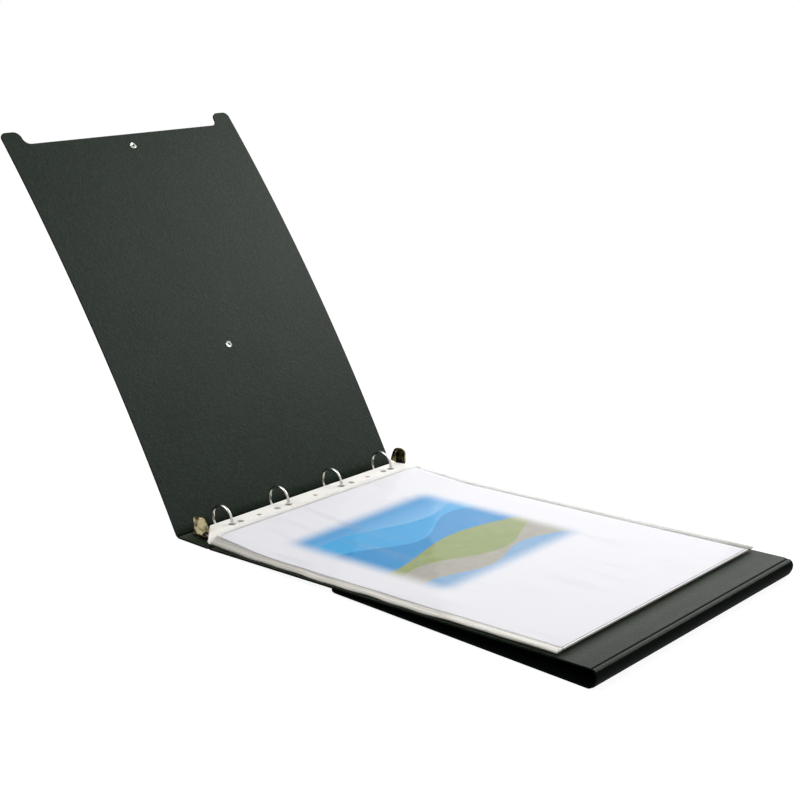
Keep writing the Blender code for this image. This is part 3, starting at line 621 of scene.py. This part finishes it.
tip_angle = degrees(RING_TIP_GAP / 2 / RING_RADIUS)
for side, first in (("right", 90 - tip_angle), ("left", 90 + tip_angle)):
    sweep = (90 + RING_FOOT - tip_angle) * (-1 if side == "right" else 1)
    rings = new_piece(f"{side}_half_rings", bmesh.new(), nickel)
    run_tree(rings, ring_tree, centre=hinges["lower_pockets_turn"], pitch=RING_PITCH * MM,
             count=RING_COUNT, ring_radius=RING_RADIUS * MM, wire_radius=WIRE_RADIUS * MM,
             first_angle=radians(first), sweep=radians(sweep))
    rings.data.shade_smooth()
    rings.data.set_sharp_from_angle(angle=radians(40))
    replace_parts(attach(rings, f"{side}_rail"), *[f"{side}_half_ring_{i + 1}" for i in range(RING_COUNT)])
    print(rings.name, len(rings.data.polygons), "faces")

plate("ring_housing", "near_housing_rivet", "far_housing_rivet", "left_rail", "right_rail")

# %% [markdown]
# ### Levers
# A lever at each end of the housing opens all the rings. It is pressed from sheet steel: a tongue towards
# the rails, an arm on a pin, and a thumb tab that is bowed across like half a pipe, with a flat rib pressed
# into its middle. It could be a box with its corners moved, but then its sheet would be thick and thin.
# Here a grid of points follows the lever's side view and each row is bowed, so that a closed shell on the
# grid has the same thickness everywhere.

# %% Levers
LEVER_SHEET = 1.0
LEVER_HALF = 5.0
LEVER_SIDE = [(-2.9, -1.25), (-1.0, -1.25), (0.0, 0.0)] + arc((3.0, 3.0), 2.4, -90, 0)
TAB_HEIGHT = 22.5
TAB_HALF = 10.2
TAB_DEPTH = 5.4
TAB_LEAN = 3.4
TAB_FLARE = (0.06, 0.3)
TAB_ROUND = 0.4
TAB_SQUARE = 0.75
RIB_DEPTH = 1.0
RIB_NARROW = 2.1
TAB_ANGLES = range(3, 88, 4)
LEVER_COLUMNS = 40
PIN_RADIUS = 1.0
PIN_REACH = 13.7

arm_out, arm_up = LEVER_SIDE[-1]
lever_rows = [(out, up, LEVER_HALF, 0.0) for out, up in LEVER_SIDE]
for angle in TAB_ANGLES:
    share = sin(radians(angle))
    close = cos(radians(angle)) ** TAB_ROUND
    flare = ease(share, *TAB_FLARE)
    half = mix(LEVER_HALF, TAB_HALF, flare) * close
    lever_rows.append((arm_out + TAB_LEAN * share - TAB_DEPTH * (1 - close) / 2,
                       mix(arm_up, TAB_HEIGHT, share), half, TAB_DEPTH * flare * close))

for name, side in (("near", -1), ("far", 1)):
    pin = hinges[f"{name}_lever_press"]
    grid = []
    for out, up, half, depth in lever_rows:
        turns = [radians(180 * j / LEVER_COLUMNS - 90) for j in range(LEVER_COLUMNS + 1)]
        across = [half * abs(sin(t)) ** TAB_SQUARE * (1 if t > 0 else -1) for t in turns]
        rib = RIB_DEPTH * depth / TAB_DEPTH
        inwards = [depth * (1 - max(0.0, cos(t)) ** TAB_SQUARE)
                   + rib * max(0.0, cos(RIB_NARROW * t)) ** 2 for t in turns]
        grid.append([pin / MM + Vector((x, side * (out - dip), up)) for x, dip in zip(across, inwards)])
    bm = draw_shell(bmesh.new(), grid, lambda i, j: LEVER_SHEET)
    bmesh.ops.create_cone(bm, cap_ends=True, segments=24, radius1=PIN_RADIUS * MM, radius2=PIN_RADIUS * MM,
                          depth=2 * PIN_REACH * MM,
                          matrix=Matrix.Translation(pin) @ Matrix.Rotation(pi / 2, 4, "Y"))
    lever = round_edges(new_piece(f"{name}_thumb_lever", bm, tarnish_and_reflection_nickel), width=0.25, segments=2)
    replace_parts(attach(lever, f"{name}_lever"), f"{name}_lever")
    print(lever.name, len(lever.data.polygons), "faces")

# %% [markdown]
# ## Pockets
# Each pocket is a film sleeve with a perforated strip of thick white plastic along its ring side. The
# pockets are limp. They sag from the rings on to the rear cover, lift a little at the free end, and their
# long margins hang down on to the cover. A cloth simulation could drape them, but stiff film hardly drapes,
# so a height function gives that shape, and the strips, sleeves and inserts all follow it.

# %% Pocket shape
POCKETS = {"bottom_pocket": "lower_pockets", "middle_pocket": "lower_pockets", "top_pocket": "top_pocket"}
STRIP_HEIGHT = 10.3
STRIP_STEP = 1.3
MARGIN_HEIGHT = 5.9
MARGIN_STEP = 0.8
MARGIN_START = 138.0
MARGIN_CURVE = 1.6
REST_GAP = 0.9
MARGIN_GAP = 0.5
MARGIN_REST_STEP = 0.55
SAG = (22.0, 115.0)
MARGIN_SAG = (20.0, 150.0)
LIFT = (290.0, 450.0)
LIFT_HEIGHT = 1.9
LIFT_CLOSING = 0.55
MARGIN_LIFT = 3.2
FAR_FLAT = (40.0, 130.0)
FAR_DROOP = 0.1
MARGIN_RIPPLE = 0.8
RIPPLE_START = (40.0, 90.0)
RIPPLE_WAVES = ((0.6, 17.0), (0.4, 7.3))
pocket_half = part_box("top_pocket_sleeve")[1].y / MM
rear_start = creases["rear_cover_fold"].x / MM
rear_slope = rear_run.z / rear_run.x


def pocket_height(level, x, y):
    """Height in mm of the middle of a pocket at a place (x, y) in mm."""
    cover_top = SHEET + max(0.0, x - rear_start) * rear_slope
    lift = ease(x, *LIFT)
    resting = cover_top + REST_GAP + STRIP_STEP * level * (1 - LIFT_CLOSING * lift) + LIFT_HEIGHT * lift
    middle = mix(STRIP_HEIGHT + STRIP_STEP * level, resting, ease(x, *SAG))
    margin_resting = cover_top + MARGIN_GAP + MARGIN_REST_STEP * level + MARGIN_LIFT * lift
    margin = mix(MARGIN_HEIGHT + MARGIN_STEP * level, margin_resting, ease(x, *MARGIN_SAG))
    share = max(0.0, (abs(y) - MARGIN_START) / (pocket_half - MARGIN_START)) ** MARGIN_CURVE
    share *= mix(1.0, FAR_DROOP, ease(x, *FAR_FLAT)) if y > 0 else 1.0
    waves = 1 + sum(size * sin(x / length) for size, length in RIPPLE_WAVES)
    ripple = MARGIN_RIPPLE * share * (1 - lift) * ease(x, *RIPPLE_START) * waves
    return mix(middle, min(margin, middle), share) + ripple


for level, name in enumerate(POCKETS):
    print(name, "is", round(pocket_height(level, 14, 0), 1), "mm high at the rings")

# %% A sheet that follows a pocket
def pocket_sheet(level, xs, ys, thickness):
    """A closed sheet that follows a pocket's shape; thickness(x, y) is in mm."""
    grid = [[Vector((x, y, pocket_height(level, x, y))) for y in ys] for x in xs]
    return draw_shell(bmesh.new(), grid, lambda i, j: thickness(xs[i], ys[j]))


print("pocket sheets cover", round(2 * pocket_half, 1), "mm across")

# %% [markdown]
# ### Strips
# The strip is thick white polypropylene with a satin surface. It has a hole for each ring, spare holes for
# other ring sets and small index holes. They repeat, so a Geometry Nodes tree punches them with rows of
# cylinders. The two corners at the rings are cut off, to clear the levers.

# %% White strip plastic
STRIP_MOTTLE = 12.0

strip_plastic, tree, shader, place = start_material("white_polypropylene_strip", IOR=1.49)
mottle = add_node(tree, "ShaderNodeTexNoise", {
    "Vector": place, "Scale": 1 / (STRIP_MOTTLE * MM), "Detail": 4.0})
tint = add_node(tree, "ShaderNodeMix", {
    "Factor": mottle.outputs["Fac"], "A": linear("#FBF8F1"), "B": linear("#FFFDF8")}, data_type="RGBA")
tree.links.new(tint.outputs["Result"], shader.inputs["Base Color"])
satin = add_node(tree, "ShaderNodeMapRange", {"Value": mottle.outputs["Fac"], "To Min": 0.38, "To Max": 0.50})
tree.links.new(satin.outputs[0], shader.inputs["Roughness"])
print("made", strip_plastic.name)

# %% A tree that punches the holes
PUNCH_LENGTH = 30.0
HOLE_ROWS = {"Ring Holes": (4, 80.0, 4.0), "Inner Spare Holes": (2, 112.0, 3.7),
             "Outer Spare Holes": (2, 216.0, 3.7), "Index Holes": (3, 82.0, 2.8)}

punch_tree, given = new_tree("punch_strip", {"Hole Line": "Vector",
                                             **{f"{row} {size}": "Float" for row in HOLE_ROWS
                                                for size in ("Pitch", "Radius")}})
punches = add_node(punch_tree, "GeometryNodeJoinGeometry")
for name, (count, pitch, radius) in HOLE_ROWS.items():
    punch = add_node(punch_tree, "GeometryNodeMeshCylinder", {
        "Vertices": 32, "Depth": PUNCH_LENGTH * MM, "Radius": given[f"{name} Radius"]})
    rods = row_of_copies(punch_tree, punch.outputs[0], given["Hole Line"], given[f"{name} Pitch"], count)
    punch_tree.links.new(rods, punches.inputs[0])
solid_rods = add_node(punch_tree, "GeometryNodeRealizeInstances", {"Geometry": punches.outputs[0]})
punched = add_node(punch_tree, "GeometryNodeMeshBoolean", {
    "Mesh 1": given["Geometry"], "Mesh 2": solid_rods.outputs[0]}, operation="DIFFERENCE", solver="EXACT")
end_tree(punch_tree, punched.outputs[0], strip_plastic)
print("tree", punch_tree.name, "has", len(punch_tree.nodes), "nodes")

# %% Strips
STRIP_WIDTH = 23.5
STRIP_SHEET = 1.2
STRIP_GRID = (2.5, 3.0)
STRIP_CUT = 138.0
HOLE_LINE = (14.2, 0.0, 10.0)

hole_sizes = {}
for name, (count, pitch, radius) in HOLE_ROWS.items():
    key = name.lower().replace(" ", "_")
    hole_sizes[f"{key}_pitch"] = pitch * MM
    hole_sizes[f"{key}_radius"] = radius * MM

for level, (name, body) in enumerate(POCKETS.items()):
    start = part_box(f"{name}_strip")[0].x / MM
    xs = spread(start, start + STRIP_WIDTH, STRIP_GRID[0])
    ys = spread(-pocket_half, pocket_half, STRIP_GRID[1])
    bm = pocket_sheet(level, xs, ys, lambda x, y: STRIP_SHEET)
    for side in (-1, 1):
        corner = Vector((start, side * STRIP_CUT, 0)) * MM
        cut = bmesh.ops.bisect_plane(bm, geom=bm.verts[:] + bm.edges[:] + bm.faces[:], dist=1e-6,
                                     plane_co=corner, plane_no=(-1, side, 0), clear_outer=True)
        rim = [item for item in cut["geom_cut"] if isinstance(item, bmesh.types.BMEdge)]
        bmesh.ops.holes_fill(bm, edges=rim)
    strip = new_piece(f"{name}_edge_strip", bm, strip_plastic)
    run_tree(strip, punch_tree, hole_line=Vector(HOLE_LINE) * MM, **hole_sizes)
    strip.data.shade_smooth()
    strip.data.set_sharp_from_angle(angle=radians(45))
    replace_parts(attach(strip, body), f"{name}_strip")
    print(strip.name, len(strip.data.polygons), "faces")

# %% [markdown]
# ### Inserts
# A sheet of heavy, uncoated paper lies in each pocket. Its fibres give a matt white with a very faint cloud.
# The top sheet carries a printed picture of rolling hills under a blue sky. An image could hold it, but one
# built from waves, soft masks and noise stays sharp at any size. Each hill is the part of the page beyond a
# wavy line, painted over the ones behind it. Each row of the list gives a hill's line, as where it runs, how
# far it swings, how long its wave is and where the wave starts, and then its two inks.

# %% Plain paper
FIBRE = 0.5


def paper_material(name):
    material, tree, shader, place = start_material(name, Roughness=0.72)
    fibre = add_node(tree, "ShaderNodeTexNoise", {"Vector": place, "Scale": 1 / (FIBRE * MM), "Detail": 6.0})
    white = add_node(tree, "ShaderNodeMix", {
        "Factor": fibre.outputs["Fac"], "A": linear("#E7E7EC"), "B": linear("#ECECF1")},
        data_type="RGBA").outputs["Result"]
    tree.links.new(white, shader.inputs["Base Color"])
    print("made", name)
    return material, tree, shader, place, white


paper = paper_material("white_paper")[0]

# %% Printed paper
PICTURE_CENTRE = (190.0, -8.0)
PICTURE_HALF = (112.0, 112.0)
PICTURE_SOFT = 26.0
HILLS = ((128.0, 13.0, 34.0, 0.6, "#1E98D8", "#48B0E2"), (166.0, 17.0, 27.0, 2.4, "#0080C0", "#1492CC"),
         (208.0, 12.0, 40.0, 4.4, "#6F8238", "#A0AA70"), (246.0, 15.0, 30.0, 1.2, "#8F8B80", "#B8B3A8"),
         (272.0, 9.0, 22.0, 3.0, "#5F94C2", "#8FB6D6"))
HILL_EDGE = 1.2
SKY_FADE = (80.0, 150.0)
INK_CLOUD = 9.0

printed, tree, shader, place, white = paper_material("printed_paper")
page = add_node(tree, "ShaderNodeSeparateXYZ", {0: place}).outputs
mask = None
for axis, centre, half in zip("XY", PICTURE_CENTRE, PICTURE_HALF):
    away = add_node(tree, "ShaderNodeMath", {0: page[axis], 1: centre * MM}, operation="SUBTRACT")
    away = add_node(tree, "ShaderNodeMath", {0: away.outputs[0]}, operation="ABSOLUTE")
    inside = add_node(tree, "ShaderNodeMapRange", {
        "Value": away.outputs[0], "From Min": half * MM, "From Max": (half - PICTURE_SOFT) * MM},
        interpolation_type="SMOOTHSTEP").outputs[0]
    mask = inside if mask is None else add_node(tree, "ShaderNodeMath", {
        0: mask, 1: inside}, operation="MULTIPLY").outputs[0]
grain = add_node(tree, "ShaderNodeTexNoise", {
    "Vector": place, "Scale": 1 / (INK_CLOUD * MM), "Detail": 7.0, "Roughness": 0.65}).outputs["Fac"]
sky = add_node(tree, "ShaderNodeMapRange", {
    "Value": page["X"], "From Min": SKY_FADE[0] * MM, "From Max": SKY_FADE[1] * MM})
picture = add_node(tree, "ShaderNodeMix", {
    "Factor": sky.outputs[0], "A": linear("#0088C8"), "B": linear("#7DBDEA")},
    data_type="RGBA").outputs["Result"]
for line, swing, wave, shift, dark, light in HILLS:
    turn = add_node(tree, "ShaderNodeMath", {
        0: page["Y"], 1: 1 / (wave * MM), 2: shift}, operation="MULTIPLY_ADD")
    crest = add_node(tree, "ShaderNodeMath", {0: turn.outputs[0]}, operation="SINE")
    edge = add_node(tree, "ShaderNodeMath", {
        0: crest.outputs[0], 1: swing * MM, 2: line * MM}, operation="MULTIPLY_ADD")
    beyond = add_node(tree, "ShaderNodeMath", {0: page["X"], 1: edge.outputs[0]}, operation="SUBTRACT")
    covers = add_node(tree, "ShaderNodeMapRange", {
        "Value": beyond.outputs[0], "From Min": 0.0, "From Max": HILL_EDGE * MM})
    ink = add_node(tree, "ShaderNodeMix", {
        "Factor": grain, "A": linear(dark), "B": linear(light)}, data_type="RGBA")
    picture = add_node(tree, "ShaderNodeMix", {
        "Factor": covers.outputs[0], "A": picture, "B": ink.outputs["Result"]},
        data_type="RGBA").outputs["Result"]
page_colour = add_node(tree, "ShaderNodeMix", {"Factor": mask, "A": white, "B": picture}, data_type="RGBA")
tree.links.new(page_colour.outputs["Result"], shader.inputs["Base Color"])

# %% Inserts
PAPER_SHEET = 0.3
PAPER_GRID = (6.0, 4.0)

for level, (name, body) in enumerate(POCKETS.items()):
    low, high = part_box(f"{name}_insert")
    xs = spread(low.x / MM, high.x / MM, PAPER_GRID[0])
    ys = spread(low.y / MM, high.y / MM, PAPER_GRID[1])
    finish = printed if name == "top_pocket" else paper
    sheet = new_piece(f"{name}_paper", pocket_sheet(level, xs, ys, lambda x, y: PAPER_SHEET), finish)
    sheet.data.set_sharp_from_angle(angle=radians(40))
    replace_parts(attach(sheet, body), f"{name}_insert")
    print(sheet.name, len(sheet.data.polygons), "faces")

# %% [markdown]
# ### Sleeves
# The sleeve is two layers of clear film, welded together along the margins. Film lets light through and
# mirrors a little, most at a flat angle. So the shader mixes a see-through part, a faint milky veil and a
# gloss that grows as the surface turns away from the eye. Glass would do for a thick plate, but it bends
# what lies behind it, and thin film doesn't. The folded hems are almost white. The window has slanting
# wrinkles, whose shading is painted: a stretched noise texture puts slanting bands of thicker veil into it.

# %% Clear film
RIPPLE_LENGTH = 60.0
RIPPLE_DEPTH = 3.0
FLAT_GLOSS = 0.22
FACING_GLOSS = 0.01
GLOSS_RISE = 5.0


def film_material(name, veil, tint):
    material, tree, milky, place = start_material(name, Roughness=0.3, IOR=1.5)
    milky.inputs["Base Color"].default_value = linear(tint)
    ripple = add_node(tree, "ShaderNodeTexNoise", {
        "Vector": place, "Scale": 1 / (RIPPLE_LENGTH * MM), "Detail": 2.0})
    bump = add_node(tree, "ShaderNodeBump", {
        "Height": ripple.outputs["Fac"], "Strength": 0.5, "Distance": RIPPLE_DEPTH * MM})
    clear = add_node(tree, "ShaderNodeBsdfTransparent")
    gloss = add_node(tree, "ShaderNodeBsdfGlossy", {"Roughness": 0.08, "Normal": bump.outputs[0]})
    facing = add_node(tree, "ShaderNodeLayerWeight", {"Blend": 0.5})
    steep = add_node(tree, "ShaderNodeMath", {0: facing.outputs["Facing"], 1: GLOSS_RISE}, operation="POWER")
    mirror = add_node(tree, "ShaderNodeMath", {
        0: steep.outputs[0], 1: FLAT_GLOSS, 2: FACING_GLOSS}, operation="MULTIPLY_ADD")
    body = add_node(tree, "ShaderNodeMixShader", {0: veil, 1: clear.outputs[0], 2: milky.outputs[0]})
    film = add_node(tree, "ShaderNodeMixShader", {
        0: mirror.outputs[0], 1: body.outputs[0], 2: gloss.outputs[0]})
    tree.links.new(film.outputs[0], tree.nodes["Material Output"].inputs["Surface"])
    print("made", name)
    return material, tree, place, body


hem_film = film_material("folded_polypropylene_film", 0.85, "#FAF8F4")[0]

# %% Film over the window
WRINKLE_LENGTH = 150.0
WRINKLE_WIDTH = 26.0
WRINKLE_SLANT = 55.0
WRINKLE_BAND = (0.52, 0.80)
WRINKLE_VEIL = (0.03, 0.13)

window_film, tree, place, body = film_material("clear_polypropylene_film", 0.04, "#D4D4D8")
slanted = add_node(tree, "ShaderNodeMapping", {
    "Vector": place, "Rotation": (0, 0, radians(WRINKLE_SLANT)),
    "Scale": (1 / WRINKLE_LENGTH / MM, 1 / WRINKLE_WIDTH / MM, 0)})
folds = add_node(tree, "ShaderNodeTexNoise", {"Vector": slanted.outputs[0], "Scale": 1.0, "Detail": 1.0})
# Slanting bands of thicker veil stand for the wrinkles' shading: painted shade.
wrinkles = add_node(tree, "ShaderNodeMapRange", {
    "Value": folds.outputs["Fac"], "From Min": WRINKLE_BAND[0], "From Max": WRINKLE_BAND[1],
    "To Min": WRINKLE_VEIL[0], "To Max": WRINKLE_VEIL[1]}, interpolation_type="SMOOTHSTEP")
tree.links.new(wrinkles.outputs[0], body.inputs[0])
print("wrinkles of", WRINKLE_LENGTH, "by", WRINKLE_WIDTH, "mm")

# %% [markdown]
# The weld presses the two layers together. It is milky along its middle, clearer at the seam beside the
# insert and at the cut edge, and it has drawn streaks along the margin. A colour ramp across the margin
# and a stretched noise texture give that. The far margin lies flat, and its weld colour turns grey there:
# painted shade.

# %% Welded film
STREAK_LENGTH = 45.0
STREAK_WIDTH = 2.5
STREAK_VEIL = (0.8, 1.9)
WELD = 10.4
WELD_HAZE = ((0.0, 0.12), (0.3, 0.30), (0.6, 0.42), (1.0, 0.22))
WELD_FADE = (40.0, 220.0)
NEAR_WELD = "#F3F0E8"
SHADED_FAR_WELD = "#ABABA4"
SIDE_BLEND = 50.0

weld_film, tree, place, body = film_material("welded_polypropylene_film", 0.8, NEAR_WELD)
sleeve_place = add_node(tree, "ShaderNodeSeparateXYZ", {0: place}).outputs
away = add_node(tree, "ShaderNodeMath", {0: sleeve_place["Y"]}, operation="ABSOLUTE")
margin = add_node(tree, "ShaderNodeMapRange", {
    "Value": away.outputs[0], "From Max": pocket_half * MM, "From Min": (pocket_half - WELD) * MM})
haze = add_node(tree, "ShaderNodeValToRGB", {0: margin.outputs[0]})
stops = haze.color_ramp.elements
for spot, level in WELD_HAZE:
    stop = stops.new(spot) if 0 < spot < 1 else stops[round(spot) * (len(stops) - 1)]
    stop.color = (level, level, level, 1.0)
stretched = add_node(tree, "ShaderNodeMapping", {
    "Vector": place, "Scale": (1 / STREAK_LENGTH / MM, 1 / STREAK_WIDTH / MM, 1 / STREAK_WIDTH / MM)})
streaks = add_node(tree, "ShaderNodeTexNoise", {"Vector": stretched.outputs[0], "Scale": 1.0, "Detail": 3.0})
uneven = add_node(tree, "ShaderNodeMapRange", {
    "Value": streaks.outputs["Fac"], "From Min": 0.25, "From Max": 0.75, "To Min": STREAK_VEIL[0],
    "To Max": STREAK_VEIL[1]})
thicker = add_node(tree, "ShaderNodeMapRange", {
    "Value": sleeve_place["X"], "From Min": WELD_FADE[0] * MM, "From Max": WELD_FADE[1] * MM, "To Min": 0.55})
milky = add_node(tree, "ShaderNodeMath", {
    0: haze.outputs["Color"], 1: uneven.outputs[0]}, operation="MULTIPLY")
veil = add_node(tree, "ShaderNodeMath", {
    0: milky.outputs[0], 1: thicker.outputs[0]}, operation="MULTIPLY", use_clamp=True)
# Towards the far side the weld's colour turns grey: painted shade.
far_shade = add_node(tree, "ShaderNodeMapRange", {
    "Value": sleeve_place["Y"], "From Min": -SIDE_BLEND * MM, "From Max": SIDE_BLEND * MM})
tint = add_node(tree, "ShaderNodeMix", {
    "Factor": far_shade.outputs[0], "A": linear(NEAR_WELD), "B": linear(SHADED_FAR_WELD)}, data_type="RGBA")
tree.links.new(tint.outputs["Result"], tree.nodes["Principled BSDF"].inputs["Base Color"])
tree.links.new(veil.outputs[0], body.inputs[0])
print("welds", WELD, "mm wide")

# %% Sleeves
STRIP_WRAP = 4.0
SLEEVE_HEM = 4.0
END_HEM = 1.6
MOUTH = 16.0
WRAP_SHEET = STRIP_SHEET + 0.3
WINDOW_BULGE = 0.9
END_BULGE = 0.5
END_THINNING = (150.0, 30.0)
END_SHEET = 0.3
END_CLOSING = 4.0
WELD_SHEET = 0.4
SEAM_SOFT = 1.0
FILM_STEP = 6.0
MOUTH_STEP = 1.0
END_STEP = 1.5
WELD_STEP = 1.3


def film_thickness(x, y):
    """The film wraps the strip, opens round the insert and is welded flat at the margins."""
    body = mix(WRAP_SHEET, WINDOW_BULGE, ease(x, strip_end, strip_end + MOUTH))
    body = mix(body, END_BULGE, ease(x, *[sleeve_end - reach for reach in END_THINNING]))
    body = mix(body, END_SHEET, ease(x, sleeve_end - END_CLOSING, sleeve_end))
    welded = mix(body, WELD_SHEET, ease(abs(y), seam - SEAM_SOFT, seam + SEAM_SOFT))
    return welded if x > strip_end + SEAM_SOFT else body


for level, (name, body) in enumerate(POCKETS.items()):
    low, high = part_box(f"{name}_sleeve")
    seam = high.y / MM - WELD
    strip_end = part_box(f"{name}_strip")[0].x / MM + STRIP_WIDTH
    sleeve_end = high.x / MM
    last_row = sleeve_end - FILM_STEP
    xs = spread(strip_end - STRIP_WRAP, strip_end + MOUTH, MOUTH_STEP)
    xs += spread(strip_end + MOUTH, last_row, FILM_STEP)[1:] + spread(last_row, sleeve_end, END_STEP)[1:]
    ys = spread(-high.y / MM, -seam, WELD_STEP) + spread(-seam, seam, FILM_STEP)[1:]
    ys += spread(seam, high.y / MM, WELD_STEP)[1:]
    sleeve = new_piece(f"{name}_film", pocket_sheet(level, xs, ys, film_thickness), window_film)
    sleeve.data.materials.append(weld_film)
    sleeve.data.materials.append(hem_film)
    for face in sleeve.data.polygons:
        x = face.center.x / MM
        if abs(face.center.y) > seam * MM:
            face.material_index = 1
        elif x > sleeve_end - END_HEM or strip_end < x < strip_end + SLEEVE_HEM:
            face.material_index = 2
    sleeve.data.set_sharp_from_angle(angle=radians(60))
    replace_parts(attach(sleeve, body), f"{name}_sleeve")
    print(sleeve.name, len(sleeve.data.polygons), "faces")

# %% [markdown]
# ## Floor and light
# The background is plain white. A sheet of white card could be lit until it is white, but that light would
# wash out the binder. So the floor and the world are white only to the camera, to mirrors and to rays
# that pass through film, and the floor keeps a share of the binder's shadow.

# %% Floor
FLOOR_SHARE = 0.8
FLOOR_GLOW = 1.15
FLOOR_DROP = 0.3


def seen_white(tree):
    """One for a ray that shows the background, nought for a ray that only lights the binder."""
    rays = add_node(tree, "ShaderNodeLightPath").outputs
    mirrored = add_node(tree, "ShaderNodeMath", {
        0: rays["Is Camera Ray"], 1: rays["Is Glossy Ray"]}, operation="MAXIMUM")
    return add_node(tree, "ShaderNodeMath", {
        0: mirrored.outputs[0], 1: rays["Is Transmission Ray"]}, operation="MAXIMUM").outputs[0]


floor_bm = bmesh.new()
bmesh.ops.create_grid(floor_bm, x_segments=1, y_segments=1, size=6.0)
floor_white, tree, shader, _ = start_material("white_floor", Roughness=0.9)
shader.inputs["Base Color"].default_value = linear("#F4F4F4")
share = add_node(tree, "ShaderNodeMath", {0: seen_white(tree), 1: FLOOR_SHARE}, operation="MULTIPLY")
glow = add_node(tree, "ShaderNodeEmission", {"Strength": FLOOR_GLOW})
mixed = add_node(tree, "ShaderNodeMixShader", {0: share.outputs[0], 1: shader.outputs[0], 2: glow.outputs[0]})
tree.links.new(mixed.outputs[0], tree.nodes["Material Output"].inputs["Surface"])
floor = new_piece("floor", floor_bm, floor_white)
floor.data.transform(Matrix.Translation((0, 0, -FLOOR_DROP * MM)))
print("floor of", [round(v, 1) for v in floor.dimensions], "m")

# %% [markdown]
# The light is soft, from the pale sky of the world and three square lamps: one high behind, one high in
# front, and a low one behind, which puts a sheen on the rear cover.

# %% World and lamps
WORLD_LIGHT = 0.43

world = bpy.data.worlds.new("white_studio")
world.use_nodes = True
bpy.context.scene.world = world
tree = world.node_tree
level = add_node(tree, "ShaderNodeMapRange", {"Value": seen_white(tree), "To Min": WORLD_LIGHT})
tree.links.new(level.outputs[0], tree.nodes["Background"].inputs["Strength"])
tree.nodes["Background"].inputs["Color"].default_value = linear("#FFFFFF")


def add_lamp(name, place, target, size, watts):
    lamp = bpy.data.objects.new(name, bpy.data.lights.new(name, "AREA"))
    lamp.data.shape = "SQUARE"
    lamp.data.size = size
    lamp.data.energy = watts
    lamp.location = place
    lamp.visible_camera = False
    lamp.rotation_euler = (Vector(place) - Vector(target)).to_track_quat("Z", "Y").to_euler()
    bpy.context.scene.collection.objects.link(lamp)


add_lamp("back_softbox", place=(0.3, 1.12, 0.95), target=(0.0, 0.0, 0.1), size=0.9, watts=12.5)
add_lamp("rim_softbox", place=(-0.33, 0.95, 0.40), target=(0.47, 0.0, 0.02), size=0.5, watts=1.4)
add_lamp("front_softbox", place=(-0.5, -1.2, 1.6), target=(0.1, 0.0, 0.05), size=1.2, watts=15.0)
bpy.context.scene.view_settings.view_transform = "Standard"
